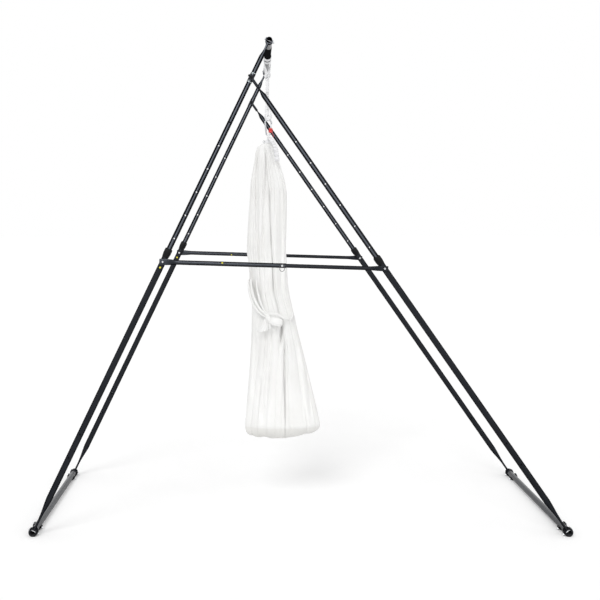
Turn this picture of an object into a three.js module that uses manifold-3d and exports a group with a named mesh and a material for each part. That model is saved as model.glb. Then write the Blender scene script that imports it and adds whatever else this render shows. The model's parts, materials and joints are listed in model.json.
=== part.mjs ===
// Aerial rig: two telescopic A-frames, a top bar, two base tubes and a hanging cloth hammock.
// Millimetres, +Z up, +X to the right, +Y to the back, with the origin on the floor in the middle.
import * as THREE from 'three';
import { mergeVertices } from 'three/addons/utils/BufferGeometryUtils.js';
import Module from 'manifold-3d';

const wasm = await Module();
wasm.setup();

// Driving dimensions of the frame
const baseHalfSpread = 1556;
const baseAxisHeight = 25;
const barAxisHeight = 2884;
const barAxisX = -184;
const pivotDrop = 216;
const leftClampHeight = 1596;
const rightClampHeight = 1557;
const framePitch = 1153;
const endOverhang = 24;

// Clearances
const seatGap = 0.3;
const slideClearance = 0.4;
const holeClearance = 0.7;
const overrun = 5;
const weldOverlap = 1;

// Tubes
const lowerLegRadius = 16;
const lowerLegWall = 1.6;
const upperLegWall = 1.8;
const crossbarRadius = 12.5;
const crossbarWall = 1.6;
const crossbarInnerWall = 1.5;
const crossTubeRadius = 19;
const crossTubeWall = 2.2;
const tubeSides = 16;

// Pressed tube ends
const pressedThickness = 6;
const pressedWidthShare = 1.45;
const pressedRoundnessShare = 0.5;
const upperPressEnd = 60;
const upperPressLength = 42;
const upperPressThickness = 12;
const lowerPressEnd = 80;
const lowerPressLength = 130;
const lowerPressThickness = 12;
const forkPressEnd = 78;
const forkPressLength = 48;
const crossbarPressEnd = 25;
const crossbarPressLength = 58;
const crossbarTip = 20;
const boreMargin = 12;

// Telescoping legs
const upperInsertion = 260;
const holePitch = 150;
const leftHoleCount = 6;
const rightHoleCount = 6;
const lowerHoleCount = 2;
const lowerHoleStart = 480;
const adjustHoleRadius = 4.8;
const lowerLegTop = 76;

// Collars at the tops of the lower legs
const collarBottom = 29;
const collarTop = 83;
const collarRadius = 20.5;
const collarFootRadius = 17.4;
const collarMouthRadius = 18;
const collarBandStart = 52;
const collarBandEnd = 75;

// Saddles welded on the leg ends
const saddleWall = 3.2;
const saddleArm = 9;
const saddleWidth = 40;

// Fork of the right legs and the doubler sleeve that it turns on
const doublerWall = 1.6;
const doublerHalfLength = 31;
const earThickness = 4;
const earRadius = 15;
const earArmHalfWidth = 7;
const forkWebStart = 66;

// Rubber feet
const footRadius = 26;
const footArm = 8;
const endFootWidth = 40;
const innerFootWidth = 30;
const innerFootInset = 120;

// Fasteners
const boltRadius = 3.9;
const headRadius = 8;
const headHeight = 5;
const nutRadius = 7.6;
const nutHeight = 6.5;
const boltTail = 4;
const studSetback = 0.1;
const headCrownShare = 0.7;
const fastenerSides = 8;
const holeSides = 6;
const boreSides = 8;

// Crossbars
const crossbarSplitShare = 0.55425;
const crossbarInsertion = 120;
const lockPinInset = 22;
const lockPinRadius = 3;
const lockPinHeadRadius = 6.5;
const lockPinHeadHeight = 5;
const ringWireRadius = 1.7;
const ringHalfWidth = 13;
const ringDrop = 33;
const ringSides = 5;

// Bar sleeve and sling
const sleeveLength = 170;
const sleeveWall = 3;
const webbingThickness = 2.6;
const webbingWidth = 24;
const slingLoopDrop = 118;
const slingLoopSteps = 10;
const knotHalfWidth = 17;
const knotHalfDepth = 14;
const knotHalfHeight = 16;
const strapWidth = 21;
const strapThickness = 5;
const daisyTopDrop = 244;
const slingDrop = 394;
const daisyLoopCount = 3;
const daisyHalfGap = 5;
const eyeLength = 26;
const eyeWidth = 10;
const eyeEase = 1.9;

// Carabiner
const carabinerShift = 6;
const carabinerRod = 5.5;
const carabinerTopBend = 20.5;
const carabinerBottomBend = 13;
const carabinerStraight = 66;
const gateRadius = 4.6;
const gateTipRadius = 1.5;
const hingeRise = 4.4;
const noseLength = 7;
const gateGap = 0.5;
const gateSleeveWall = 6;
const gateSleeveStart = 1;
const gateSleeveLength = 28;
const rodSides = 10;
const lensSides = 6;

// Hammock cloth
const hammockLength = 1938;
const hammockHalfWidth = 252;
const hammockHalfDepth = 104;
const hammockWall = 6;
const hammockFoldDepth = 10;
const hammockFolds = 9;
const stepsPerFold = 4;
const coreStepsPerFold = 2;
const creaseShift = 104;
const creaseWidth = 5;
const creaseStart = 39;
const creaseLength = 630;
const sashTopAside = -105;
const sashTopFront = 22;
const sashTopRise = 257;
const sashBottomAside = -10;
const sashBottomFront = 84;
const sashBottomRise = 81;
const sashTopRadius = 26;
const sashBottomRadius = 15;

// Choker on the neck of the cloth, with its loose tail
const neckHalfWidth = 22;
const neckHalfDepth = 17;
const chokerDrop = 47;
const chokerWidth = 18;
const neckRise = 16;
const chokerWall = 4;
const chokerSides = 18;
const tailReach = 62;
const tailLength = 128;
const tailWidth = 20;
const tailThickness = 6;
const tailLoopCount = 4;
const tailClearance = 50;

// Sash tied round the waist of the cloth
const tieBandHeight = 34;
const tieBandWall = 6;
const tieSides = 24;
const tieKnotShift = 54;
const tieKnotHalfWidth = 42;
const tieKnotHalfDepth = 24;
const tieKnotHalfHeight = 38;

// Places worked out from the driving dimensions
const pivotHeight = barAxisHeight - pivotDrop;
const tubeFacet = Math.PI / tubeSides;
const tubeBow = 1 / Math.cos(tubeFacet);
const rodBow = 1 / Math.cos(Math.PI / rodSides);
const leftTilt = Math.atan2(barAxisX + baseHalfSpread, barAxisHeight - baseAxisHeight);
const pivotX = (pivotHeight - baseAxisHeight) * Math.tan(leftTilt) - baseHalfSpread;
const rightTilt = Math.atan2(baseHalfSpread - pivotX, pivotHeight - baseAxisHeight);
const alongLeft = (height) => (height - baseAxisHeight) / Math.cos(leftTilt);
const alongRight = (height) => (height - baseAxisHeight) / Math.cos(rightTilt);
const leftClamp = alongLeft(leftClampHeight);
const rightClamp = alongRight(rightClampHeight);
const leftPivot = alongLeft(pivotHeight);
const rightPivot = alongRight(pivotHeight);
const leftBar = alongLeft(barAxisHeight);
const leftClampX = leftClamp * Math.sin(leftTilt) - baseHalfSpread;
const rightClampX = baseHalfSpread - rightClamp * Math.sin(rightTilt);
const crossbarTilt = Math.atan2(leftClampHeight - rightClampHeight, rightClampX - leftClampX);
const crossbarLength = Math.hypot(rightClampX - leftClampX, leftClampHeight - rightClampHeight);
const carabinerX = barAxisX + carabinerShift;
const carabinerTop = barAxisHeight - slingDrop;
const topBendHeight = carabinerTop - carabinerRod - carabinerTopBend;
const bottomBendHeight = topBendHeight - carabinerStraight;
const chokerHeight = bottomBendHeight - carabinerBottomBend - chokerDrop;
const hammockTop = chokerHeight + neckRise;
const hammockBottom = hammockTop - hammockLength;
const lowerLegBore = lowerLegRadius - lowerLegWall;
const upperLegRadius = lowerLegBore - slideClearance;
const upperLegBore = upperLegRadius - upperLegWall;
const crossbarBore = crossbarRadius - crossbarWall;
const crossbarInnerRadius = crossbarBore - slideClearance;
const crossTubeHalfLength = framePitch / 2 + endOverhang;
const saddleInner = crossTubeRadius + seatGap;
const saddleOuter = saddleInner + saddleWall;
const boltHoleRadius = boltRadius + holeClearance;
const crossbarSeat = lowerLegRadius + seatGap;
const crossbarOffset = crossbarSeat + crossbarRadius;
const crossbarOuterLength = crossbarLength * crossbarSplitShare;
const frames = [['front', -1], ['back', 1]];

// Finishes
function finish(color, roughness, metalness) {
  return new THREE.MeshStandardMaterial({ color, roughness, metalness });
}

const blackSteel = finish(0x1d1e21, 0.4, 0.6);
const blackPlastic = finish(0x151515, 0.6, 0);
const rubber = finish(0x101010, 0.85, 0);
const zinc = finish(0xb8bbc0, 0.35, 1);
const steel = finish(0x9a9da2, 0.25, 1);
const redAlloy = finish(0xcc2a28, 0.4, 0.4);
const whiteWebbing = finish(0xe6e6e2, 0.9, 0);
const whiteCloth = finish(0xf3f2ec, 0.85, 0);

// A closed surface from points and triangles, turned so that its faces point out
function skin(points, faces) {
  const cross = new THREE.Vector3();
  let volume = 0;
  for (let i = 0; i < faces.length; i += 3) {
    cross.crossVectors(points[faces[i + 1]], points[faces[i + 2]]);
    volume += points[faces[i]].dot(cross);
  }
  const geometry = new THREE.BufferGeometry();
  const numbers = points.flatMap((point) => [point.x, point.y, point.z]);
  geometry.setAttribute('position', new THREE.Float32BufferAttribute(numbers, 3));
  geometry.setIndex(volume > 0 ? faces : faces.reverse());
  return geometry;
}

// A closed surface over rings of equally many points, capped at both ends or joined into a loop
function loft(rings, joined = false) {
  const count = rings[0].length;
  const points = rings.flat();
  const faces = [];
  const spans = joined ? rings.length : rings.length - 1;
  for (let r = 0; r < spans; r += 1) {
    const low = r * count;
    const high = ((r + 1) % rings.length) * count;
    for (let i = 0; i < count; i += 1) {
      const j = (i + 1) % count;
      faces.push(low + i, low + j, high + j, low + i, high + j, high + i);
    }
  }
  if (!joined) {
    for (const [ring, turn] of [[0, false], [rings.length - 1, true]]) {
      const centre = points.length;
      const sum = new THREE.Vector3();
      rings[ring].forEach((point) => sum.add(point));
      points.push(sum.divideScalar(count));
      for (let i = 0; i < count; i += 1) {
        const a = ring * count + i;
        const b = ring * count + ((i + 1) % count);
        faces.push(centre, turn ? a : b, turn ? b : a);
      }
    }
  }
  return skin(points, faces);
}

function solidOf(geometry) {
  const bare = geometry.clone();
  bare.deleteAttribute('normal');
  bare.deleteAttribute('uv');
  const merged = mergeVertices(bare);
  const index = merged.index.array;
  const kept = [];
  for (let i = 0; i < index.length; i += 3) {
    const [a, b, c] = [index[i], index[i + 1], index[i + 2]];
    if (a !== b && b !== c && c !== a) {
      kept.push(a, b, c);
    }
  }
  const vertProperties = new Float32Array(merged.attributes.position.array);
  const triVerts = new Uint32Array(kept);
  return new wasm.Manifold(new wasm.Mesh({ numProp: 3, vertProperties, triVerts }));
}

function geometryOf(solid) {
  const mesh = solid.getMesh();
  const geometry = new THREE.BufferGeometry();
  geometry.setAttribute('position', new THREE.BufferAttribute(mesh.vertProperties, 3));
  geometry.setIndex(new THREE.BufferAttribute(mesh.triVerts, 1));
  geometry.computeVertexNormals();
  return geometry;
}

function put(parent, name, solid, material) {
  const mesh = new THREE.Mesh(geometryOf(solid), material);
  mesh.name = name;
  parent.add(mesh);
}

const joinAll = (solids) => solids.reduce((whole, solid) => whole.add(solid));
const cutAll = (body, cutters) => cutters.reduce((whole, cutter) => whole.subtract(cutter), body);

// Round rods along each axis, from one place on it to another
function rodAlongZ(radius, from, to, sides = tubeSides) {
  const rod = new THREE.CylinderGeometry(radius, radius, to - from, sides);
  return solidOf(rod.rotateX(Math.PI / 2).translate(0, 0, (from + to) / 2));
}

function rodAlongY(radius, from, to, x, z, sides = holeSides) {
  const rod = new THREE.CylinderGeometry(radius, radius, to - from, sides);
  return solidOf(rod.translate(x, (from + to) / 2, z));
}

function rodAlongX(radius, from, to, y, z, sides = holeSides) {
  const rod = new THREE.CylinderGeometry(radius, radius, to - from, sides);
  return solidOf(rod.rotateZ(Math.PI / 2).translate((from + to) / 2, y, z));
}

// A plate with its outline in the XZ plane and its thickness along Y
function plateAlongY(shape, thickness, y, steps = tubeSides / 2) {
  const settings = { depth: thickness, bevelEnabled: false, curveSegments: steps };
  const plate = new THREE.ExtrudeGeometry(shape, settings);
  return solidOf(plate.translate(0, 0, -thickness / 2).rotateX(Math.PI / 2).translate(0, y, 0));
}

// One ring of a tube that is pressed from round to flat by a share, thin along X and wide along Y
function pressedRing(radius, share, z, shift = 0, thickness = pressedThickness) {
  const halfThickness = THREE.MathUtils.lerp(radius, thickness / 2, share);
  const halfWidth = THREE.MathUtils.lerp(radius, radius * pressedWidthShare, share);
  const roundness = THREE.MathUtils.lerp(1, pressedRoundnessShare, share);
  const ring = [];
  for (let i = 0; i < tubeSides; i += 1) {
    const angle = 2 * tubeFacet * i;
    const [c, s] = [Math.cos(angle), Math.sin(angle)];
    const x = Math.sign(c) * Math.abs(c) ** roundness * halfThickness;
    const y = Math.sign(s) * Math.abs(s) ** roundness * halfWidth;
    ring.push(new THREE.Vector3(x + shift * share, y, z));
  }
  return ring;
}

// The rings of a pressed end: flat up to one place, round from another, for a tube that runs either way
const pressShares = [[0, 1], [0.35, 0.72], [0.7, 0.28], [1, 0]];
function pressedEnd(radius, flatEnd, length, direction, shift = 0, thickness = pressedThickness) {
  const ring = ([along, share]) => {
    return pressedRing(radius, share, flatEnd + direction * length * along, shift, thickness);
  };
  return pressShares.map(ring);
}

// A half-round saddle that hugs the lower half of a cross tube, with straight arms past its middle
function saddleShape() {
  const shape = new THREE.Shape();
  shape.moveTo(-saddleOuter, saddleArm);
  shape.lineTo(-saddleOuter, 0);
  shape.absarc(0, 0, saddleOuter, Math.PI, 2 * Math.PI, false);
  shape.lineTo(saddleOuter, saddleArm);
  shape.lineTo(saddleInner, saddleArm);
  shape.lineTo(saddleInner, 0);
  shape.absarc(0, 0, saddleInner, 2 * Math.PI, Math.PI, true);
  shape.lineTo(-saddleInner, saddleArm);
  return shape;
}

const saddleTop = saddleInner + saddleWall / 2;
const saddleBoltHole = rodAlongX(boltHoleRadius, -saddleOuter - overrun, saddleOuter + overrun, 0, 0);
const saddle = plateAlongY(saddleShape(), saddleWidth, 0).subtract(saddleBoltHole);

// Legs stand along local Z, with the base tube's axis at local zero
function adjustmentHoles(radius, from, count) {
  const holes = [];
  for (let i = 0; i < count; i += 1) {
    holes.push(rodAlongY(adjustHoleRadius, -radius - overrun, radius + overrun, 0, from + holePitch * i));
  }
  return holes;
}

function upperTubeBottom(clamp) {
  return clamp - upperInsertion;
}

function leftUpperLeg() {
  const bottom = upperTubeBottom(leftClamp);
  const flatEnd = leftBar - upperPressEnd;
  const doublerRadius = upperLegRadius + doublerWall;
  const thickness = upperPressThickness;
  const rings = [
    pressedRing(upperLegRadius, 0, bottom),
    pressedRing(upperLegRadius, 0, leftPivot - doublerHalfLength),
    pressedRing(doublerRadius, 0, leftPivot - doublerHalfLength),
    pressedRing(doublerRadius, 0, leftPivot + doublerHalfLength),
    pressedRing(upperLegRadius, 0, leftPivot + doublerHalfLength),
    ...pressedEnd(upperLegRadius, flatEnd, upperPressLength, -1, 0, thickness).reverse(),
    pressedRing(upperLegRadius, 1, leftBar - saddleTop, 0, thickness),
  ];
  const tube = cutAll(solidOf(loft(rings)), [
    rodAlongZ(upperLegBore, bottom - overrun, flatEnd - upperPressLength - boreMargin, boreSides),
    ...adjustmentHoles(upperLegRadius, leftClamp, leftHoleCount + 1),
    rodAlongY(boltHoleRadius, -doublerRadius - overrun, doublerRadius + overrun, 0, leftPivot),
  ]);
  return tube.add(saddle.translate([0, 0, leftBar]));
}

function forkEar(side) {
  const shape = new THREE.Shape();
  const neck = Math.asin(earArmHalfWidth / earRadius);
  shape.absarc(0, 0, earRadius, neck - Math.PI / 2, 1.5 * Math.PI - neck, false);
  shape.lineTo(-earArmHalfWidth, -forkWebStart - earThickness);
  shape.lineTo(earArmHalfWidth, -forkWebStart - earThickness);
  const inner = upperLegRadius + doublerWall + seatGap;
  return plateAlongY(shape, earThickness, side * (inner + earThickness / 2));
}

function rightUpperLeg() {
  const bottom = upperTubeBottom(rightClamp);
  const flatEnd = rightPivot - forkPressEnd;
  const tube = loft([
    pressedRing(upperLegRadius, 0, bottom),
    ...pressedEnd(upperLegRadius, flatEnd, forkPressLength, -1).reverse(),
    pressedRing(upperLegRadius, 1, rightPivot - forkWebStart),
  ]);
  const ears = [-1, 1].map((side) => forkEar(side).translate([0, 0, rightPivot]));
  const outside = upperLegRadius + doublerWall + seatGap + earThickness + overrun;
  return cutAll(joinAll([solidOf(tube), ...ears]), [
    rodAlongZ(upperLegBore, bottom - overrun, flatEnd - forkPressLength - boreMargin, boreSides),
    ...adjustmentHoles(upperLegRadius, rightClamp, rightHoleCount + 1),
    rodAlongY(boltHoleRadius, -outside, outside, 0, rightPivot),
  ]);
}

function lowerLeg(clamp) {
  const top = clamp + lowerLegTop;
  const thickness = lowerPressThickness;
  const tube = loft([
    pressedRing(lowerLegRadius, 1, saddleTop, 0, thickness),
    ...pressedEnd(lowerLegRadius, lowerPressEnd, lowerPressLength, 1, 0, thickness),
    pressedRing(lowerLegRadius, 0, top),
  ]);
  const foot = saddle.rotate([0, 180, 0]);
  return cutAll(solidOf(tube).add(foot), [
    rodAlongZ(lowerLegBore, lowerPressEnd + lowerPressLength + boreMargin, top + overrun),
    rodAlongY(boltHoleRadius, -lowerLegRadius - overrun, lowerLegRadius + overrun, 0, clamp),
    ...adjustmentHoles(lowerLegRadius, lowerHoleStart, lowerHoleCount),
  ]);
}

// A moulded collar that caps a lower leg, wide at its mouth and tapered to the tube
function collar(clamp) {
  const tubeTop = lowerLegTop + seatGap;
  const inner = lowerLegRadius + seatGap;
  const outline = [
    [inner, collarBottom],
    [collarFootRadius, collarBottom],
    [collarRadius, collarBandStart],
    [collarRadius, collarBandEnd],
    [collarMouthRadius, collarTop],
    [upperLegRadius + slideClearance, collarTop],
    [upperLegRadius + slideClearance, tubeTop],
    [inner, tubeTop],
    [inner, collarBottom],
  ].map(([radius, z]) => new THREE.Vector2(radius, z));
  const turned = new THREE.LatheGeometry(outline, tubeSides).rotateX(Math.PI / 2);
  return solidOf(turned).translate([0, 0, clamp]);
}

// A round tube along Y with its ends open
function crossTube(bore, outer, halfLength) {
  const outline = [
    [bore, -halfLength],
    [outer, -halfLength],
    [outer, halfLength],
    [bore, halfLength],
    [bore, -halfLength],
  ].map(([radius, y]) => new THREE.Vector2(radius, y));
  return solidOf(new THREE.LatheGeometry(outline, tubeSides));
}

const innerFootY = crossTubeHalfLength - innerFootInset;

function baseTube() {
  const reach = crossTubeRadius + overrun;
  const holes = frames.flatMap(([, side]) => [
    rodAlongX(boltHoleRadius, -reach, reach, (side * framePitch) / 2, 0),
    rodAlongX(boltHoleRadius, -reach, reach, side * innerFootY, 0),
  ]);
  return cutAll(crossTube(crossTubeRadius - crossTubeWall, crossTubeRadius, crossTubeHalfLength), holes);
}

function topBar() {
  const reach = crossTubeRadius + overrun;
  const holeAt = (y) => rodAlongX(boltHoleRadius, -reach, reach, y, 0);
  const holes = frames.map(([, side]) => holeAt((side * framePitch) / 2));
  return cutAll(crossTube(crossTubeRadius - crossTubeWall, crossTubeRadius, crossTubeHalfLength), holes);
}

// Rubber feet are open upwards along the leg, with a flat sole on the floor
function footBlank(width, y, armInner, shoulder) {
  const inner = (crossTubeRadius + seatGap) * tubeBow;
  const reach = Math.asin(Math.min(1, shoulder / inner));
  const shape = new THREE.Shape();
  shape.moveTo(-footRadius, footArm);
  shape.lineTo(-footRadius, 0);
  shape.absarc(0, 0, footRadius, Math.PI, 2 * Math.PI, false);
  shape.lineTo(footRadius, footArm);
  shape.lineTo(armInner, footArm);
  shape.lineTo(armInner, -shoulder);
  shape.absarc(0, 0, inner, 2 * Math.PI - reach, Math.PI + reach, true);
  shape.lineTo(-armInner, -shoulder);
  shape.lineTo(-armInner, footArm);
  return plateAlongY(shape, width, y);
}

function foot(blank, y, tilt) {
  const block = 4 * footRadius;
  const floor = new THREE.BoxGeometry(block, block, block);
  floor.translate(0, y, -baseAxisHeight - block / 2).rotateY(-tilt);
  const hole = rodAlongX(boltHoleRadius, -footRadius - overrun, footRadius + overrun, y, 0);
  return cutAll(blank, [solidOf(floor), hole]);
}

// A bolt along Y with its head at the low end and a nut towards its tail
function bolt(grip) {
  const outline = [
    [0, -headHeight],
    [headRadius * headCrownShare, -headHeight],
    [headRadius, 0],
    [boltRadius, 0],
    [boltRadius, grip],
    [nutRadius, grip],
    [nutRadius, grip + nutHeight],
    [boltRadius, grip + nutHeight],
    [boltRadius, grip + nutHeight + boltTail],
    [0, grip + nutHeight + boltTail],
  ].map(([radius, y]) => new THREE.Vector2(radius, y));
  return solidOf(new THREE.LatheGeometry(outline, fastenerSides));
}

// A bolt across the leg frame, its head on the outer side and its nut on the inner side
function boltAcross(seat, inward, y, z) {
  return bolt(2 * seat).rotate([0, 0, inward > 0 ? -90 : 90]).translate([-inward * seat, y, z]);
}

// A headed stud along Y that ends inside the near wall, so that the inner tube can slide past it
function stud(seat, tip, side, z) {
  const outline = [
    [0, seat + headHeight],
    [headRadius * headCrownShare, seat + headHeight],
    [headRadius, seat],
    [boltRadius, seat],
    [boltRadius, tip],
    [0, tip],
  ].map(([radius, y]) => new THREE.Vector2(radius, y));
  const turned = solidOf(new THREE.LatheGeometry(outline.reverse(), fastenerSides));
  return (side > 0 ? turned : turned.rotate([180, 0, 0])).translate([0, 0, z]);
}

const rig = new THREE.Group();
const leftFrame = new THREE.Group();
leftFrame.position.set(-baseHalfSpread, 0, baseAxisHeight);
leftFrame.rotation.y = leftTilt;
const rightFrame = new THREE.Group();
rightFrame.position.set(baseHalfSpread, 0, baseAxisHeight);
rightFrame.rotation.y = -rightTilt;
const crossFrame = new THREE.Group();
crossFrame.position.set(leftClampX, 0, leftClampHeight);
crossFrame.rotation.y = crossbarTilt;
rig.add(leftFrame, rightFrame, crossFrame);

// Base tubes, top bar and feet
const endFootShoulder = saddleArm + seatGap;
const sides = [['left', leftFrame, leftTilt, 1], ['right', rightFrame, -rightTilt, -1]];
for (const [hand, frame, tilt, inward] of sides) {
  put(frame, `${hand}_base_tube`, baseTube(), blackSteel);
  for (const [end, side] of frames) {
    const endY = (side * framePitch) / 2;
    const innerY = side * innerFootY;
    const endBlank = footBlank(endFootWidth, endY, saddleOuter + seatGap, endFootShoulder);
    const innerBlank = footBlank(innerFootWidth, innerY, crossTubeRadius + seatGap, 0);
    put(frame, `${hand}_end_foot_${end}`, foot(endBlank, endY, tilt), rubber);
    put(frame, `${hand}_inner_foot_${end}`, foot(innerBlank, innerY, tilt), rubber);
    put(frame, `${hand}_leg_bolt_${end}`, boltAcross(footRadius + seatGap, inward, endY, 0), zinc);
    put(frame, `${hand}_foot_bolt_${end}`, boltAcross(footRadius + seatGap, inward, innerY, 0), zinc);
  }
}
put(leftFrame, 'top_bar', topBar().translate([0, 0, leftBar]), blackSteel);

// Legs, collars and their fasteners
const crossbarFlatSeat = crossbarSeat + pressedThickness + seatGap;
const studTip = lowerLegBore + studSetback;
for (const [end, side] of frames) {
  const y = (side * framePitch) / 2;
  const across = (solid) => solid.translate([0, y, 0]);
  put(leftFrame, `left_upper_leg_${end}`, across(leftUpperLeg()), blackSteel);
  put(leftFrame, `left_lower_leg_${end}`, across(lowerLeg(leftClamp)), blackSteel);
  put(leftFrame, `left_collar_${end}`, across(collar(leftClamp)), blackPlastic);
  put(rightFrame, `right_upper_leg_${end}`, across(rightUpperLeg()), blackSteel);
  put(rightFrame, `right_lower_leg_${end}`, across(lowerLeg(rightClamp)), blackSteel);
  put(rightFrame, `right_collar_${end}`, across(collar(rightClamp)), blackPlastic);
  put(leftFrame, `bar_bolt_${end}`, boltAcross(saddleOuter + seatGap, 1, y, leftBar), zinc);
  const earSeat = upperLegRadius + doublerWall + earThickness + 2 * seatGap;
  const pivotBolt = bolt(2 * earSeat).translate([0, -earSeat, 0]);
  const facing = side < 0 ? pivotBolt : pivotBolt.rotate([180, 0, 0]);
  put(leftFrame, `pivot_bolt_${end}`, across(facing.translate([0, 0, leftPivot])), zinc);
  const clampStud = stud(crossbarFlatSeat, studTip, side, leftClamp);
  put(leftFrame, `left_clamp_bolt_${end}`, across(clampStud), zinc);
  const innerSeat = lowerLegRadius + seatGap;
  put(leftFrame, `left_clamp_nut_${end}`, across(stud(innerSeat, studTip, -side, leftClamp)), zinc);
  put(rightFrame, `right_clamp_nut_${end}`, across(stud(innerSeat, studTip, -side, rightClamp)), zinc);
}

// Crossbars: a thick tube from the left legs with a thinner one sliding in it, pressed flat at the bolts
const alongCrossbar = new THREE.Matrix4().makeBasis(
  new THREE.Vector3(0, 1, 0),
  new THREE.Vector3(0, 0, 1),
  new THREE.Vector3(1, 0, 0),
);
const flatShift = crossbarOffset - crossbarSeat - pressedThickness / 2;

function crossbarTube(rings, bore, boreFrom, boreTo) {
  const tube = solidOf(loft(rings)).subtract(rodAlongZ(bore, boreFrom, boreTo));
  return solidOf(geometryOf(tube).applyMatrix4(alongCrossbar));
}

for (const [end, side] of frames) {
  const y = side * (framePitch / 2 + crossbarOffset);
  const shift = -side * flatShift;
  const flatHole = (x) => rodAlongY(boltHoleRadius, -crossbarOffset, crossbarOffset, x, 0);
  const lockPinX = crossbarOuterLength - lockPinInset;
  const pinHole = side > 0
    ? rodAlongY(lockPinRadius + holeClearance, 0, crossbarRadius + overrun, lockPinX, 0)
    : rodAlongY(lockPinRadius + holeClearance, -crossbarRadius - overrun, 0, lockPinX, 0);
  const outer = crossbarTube([
    pressedRing(crossbarRadius, 1, -crossbarTip, shift),
    ...pressedEnd(crossbarRadius, crossbarPressEnd, crossbarPressLength, 1, shift),
    pressedRing(crossbarRadius, 0, crossbarOuterLength),
  ], crossbarBore, crossbarPressEnd + crossbarPressLength + boreMargin, crossbarOuterLength + overrun);
  const outerBar = cutAll(outer, [flatHole(0), pinHole]);
  put(crossFrame, `crossbar_outer_${end}`, outerBar.translate([0, y, 0]), blackSteel);

  const innerStart = crossbarOuterLength - crossbarInsertion;
  const innerFlat = crossbarLength - crossbarPressEnd;
  const innerBore = crossbarInnerRadius - crossbarInnerWall;
  const inner = crossbarTube([
    pressedRing(crossbarInnerRadius, 0, innerStart),
    ...pressedEnd(crossbarInnerRadius, innerFlat, crossbarPressLength, -1, shift).reverse(),
    pressedRing(crossbarInnerRadius, 1, crossbarLength + crossbarTip, shift),
  ], innerBore, innerStart - overrun, innerFlat - crossbarPressLength - boreMargin);
  const innerBar = inner.subtract(flatHole(crossbarLength));
  put(crossFrame, `crossbar_inner_${end}`, innerBar.translate([0, y, 0]), blackSteel);
  const endStud = stud(crossbarFlatSeat, crossbarSeat, side, 0);
  const studPlace = [crossbarLength, (side * framePitch) / 2, 0];
  put(crossFrame, `right_clamp_bolt_${end}`, endStud.translate(studPlace), zinc);

  // The lock pin and the ring that hangs on its neck
  const neck = 2 * ringWireRadius + 2 * seatGap;
  const pinOutline = [
    [0, crossbarInnerRadius + seatGap],
    [lockPinRadius, crossbarInnerRadius + seatGap],
    [lockPinRadius, crossbarRadius + neck],
    [lockPinHeadRadius, crossbarRadius + neck],
    [lockPinHeadRadius, crossbarRadius + neck + lockPinHeadHeight],
    [0, crossbarRadius + neck + lockPinHeadHeight],
  ].map(([radius, along]) => new THREE.Vector2(radius, along));
  const pin = solidOf(new THREE.LatheGeometry(pinOutline, fastenerSides));
  const pinFacing = side > 0 ? pin : pin.rotate([180, 0, 0]);
  put(crossFrame, `lock_pin_${end}`, pinFacing.translate([lockPinX, y, 0]), zinc);
  const ringY = y + side * (crossbarRadius + neck / 2);
  put(crossFrame, `lock_pin_ring_${end}`, pinRing().translate([lockPinX, ringY, 0]), zinc);
}

// A closed or open run of a section along a path in the XZ plane
function sweepInPlane(path, section, joined) {
  const rings = path.map((point, i) => {
    const last = path.length - 1;
    const before = joined ? path[(i + last) % path.length] : path[Math.max(i - 1, 0)];
    const after = joined ? path[(i + 1) % path.length] : path[Math.min(i + 1, last)];
    const tangent = new THREE.Vector2().subVectors(after, before).normalize();
    const scale = point.size ?? 1;
    return section.map(([out, wide]) => new THREE.Vector3(
      point.x - tangent.y * out * scale,
      wide * scale,
      point.y + tangent.x * out * scale,
    ));
  });
  return solidOf(loft(rings, joined));
}

function roundSection(radius, count) {
  const section = [];
  for (let i = 0; i < count; i += 1) {
    const angle = (2 * Math.PI * i) / count;
    section.push([radius * Math.cos(angle), radius * Math.sin(angle)]);
  }
  return section;
}

function flatSection(thickness, width) {
  const [t, w] = [thickness / 2, width / 2];
  return [[t, w], [-t, w], [-t, -w], [t, -w]];
}

function arcPath(x, z, radius, from, to, steps) {
  const path = [];
  for (let i = 0; i <= steps; i += 1) {
    const angle = from + ((to - from) * i) / steps;
    path.push(new THREE.Vector2(x + radius * Math.cos(angle), z + radius * Math.sin(angle)));
  }
  return path;
}

function pinRing() {
  const top = lockPinRadius + seatGap + ringWireRadius;
  const corner = ringHalfWidth - top;
  const bottom = ringHalfWidth - ringDrop;
  const path = [
    ...arcPath(-corner, 0, top, Math.PI, Math.PI / 2, 2),
    ...arcPath(corner, 0, top, Math.PI / 2, 0, 2),
    ...arcPath(0, bottom, ringHalfWidth, 0, -Math.PI, 6),
  ];
  return sweepInPlane(path, roundSection(ringWireRadius, ringSides), true);
}

// The sleeve on the middle of the bar
const sleeveBore = crossTubeRadius + seatGap;
const sleeveRadius = sleeveBore + sleeveWall;
const barSleeve = crossTube(sleeveBore, sleeveRadius, sleeveLength / 2);
put(leftFrame, 'bar_sleeve', barSleeve.translate([0, 0, leftBar]), rubber);

// An ellipsoid for a knot in webbing or cloth
function knot(halfWidth, halfDepth, halfHeight) {
  const ball = new THREE.SphereGeometry(1, rodSides, rodSides / 2);
  return solidOf(ball.rotateX(Math.PI / 2).scale(halfWidth, halfDepth, halfHeight));
}

function block(width, depth, low, high) {
  const box = new THREE.BoxGeometry(width, depth, high - low);
  return solidOf(box.translate(0, 0, (low + high) / 2));
}

// A closed lens of two webbing strands in the XZ plane, between two sewn ends
function webbingLens(low, high, halfGap, width) {
  const middle = (low + high) / 2;
  const rise = (high - low) / 2;
  const path = [];
  for (let i = 0; i < lensSides; i += 1) {
    const angle = (2 * Math.PI * i) / lensSides;
    path.push(new THREE.Vector2(-halfGap * Math.sin(angle), middle + rise * Math.cos(angle)));
  }
  return sweepInPlane(path, flatSection(webbingThickness, width), true);
}

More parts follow.
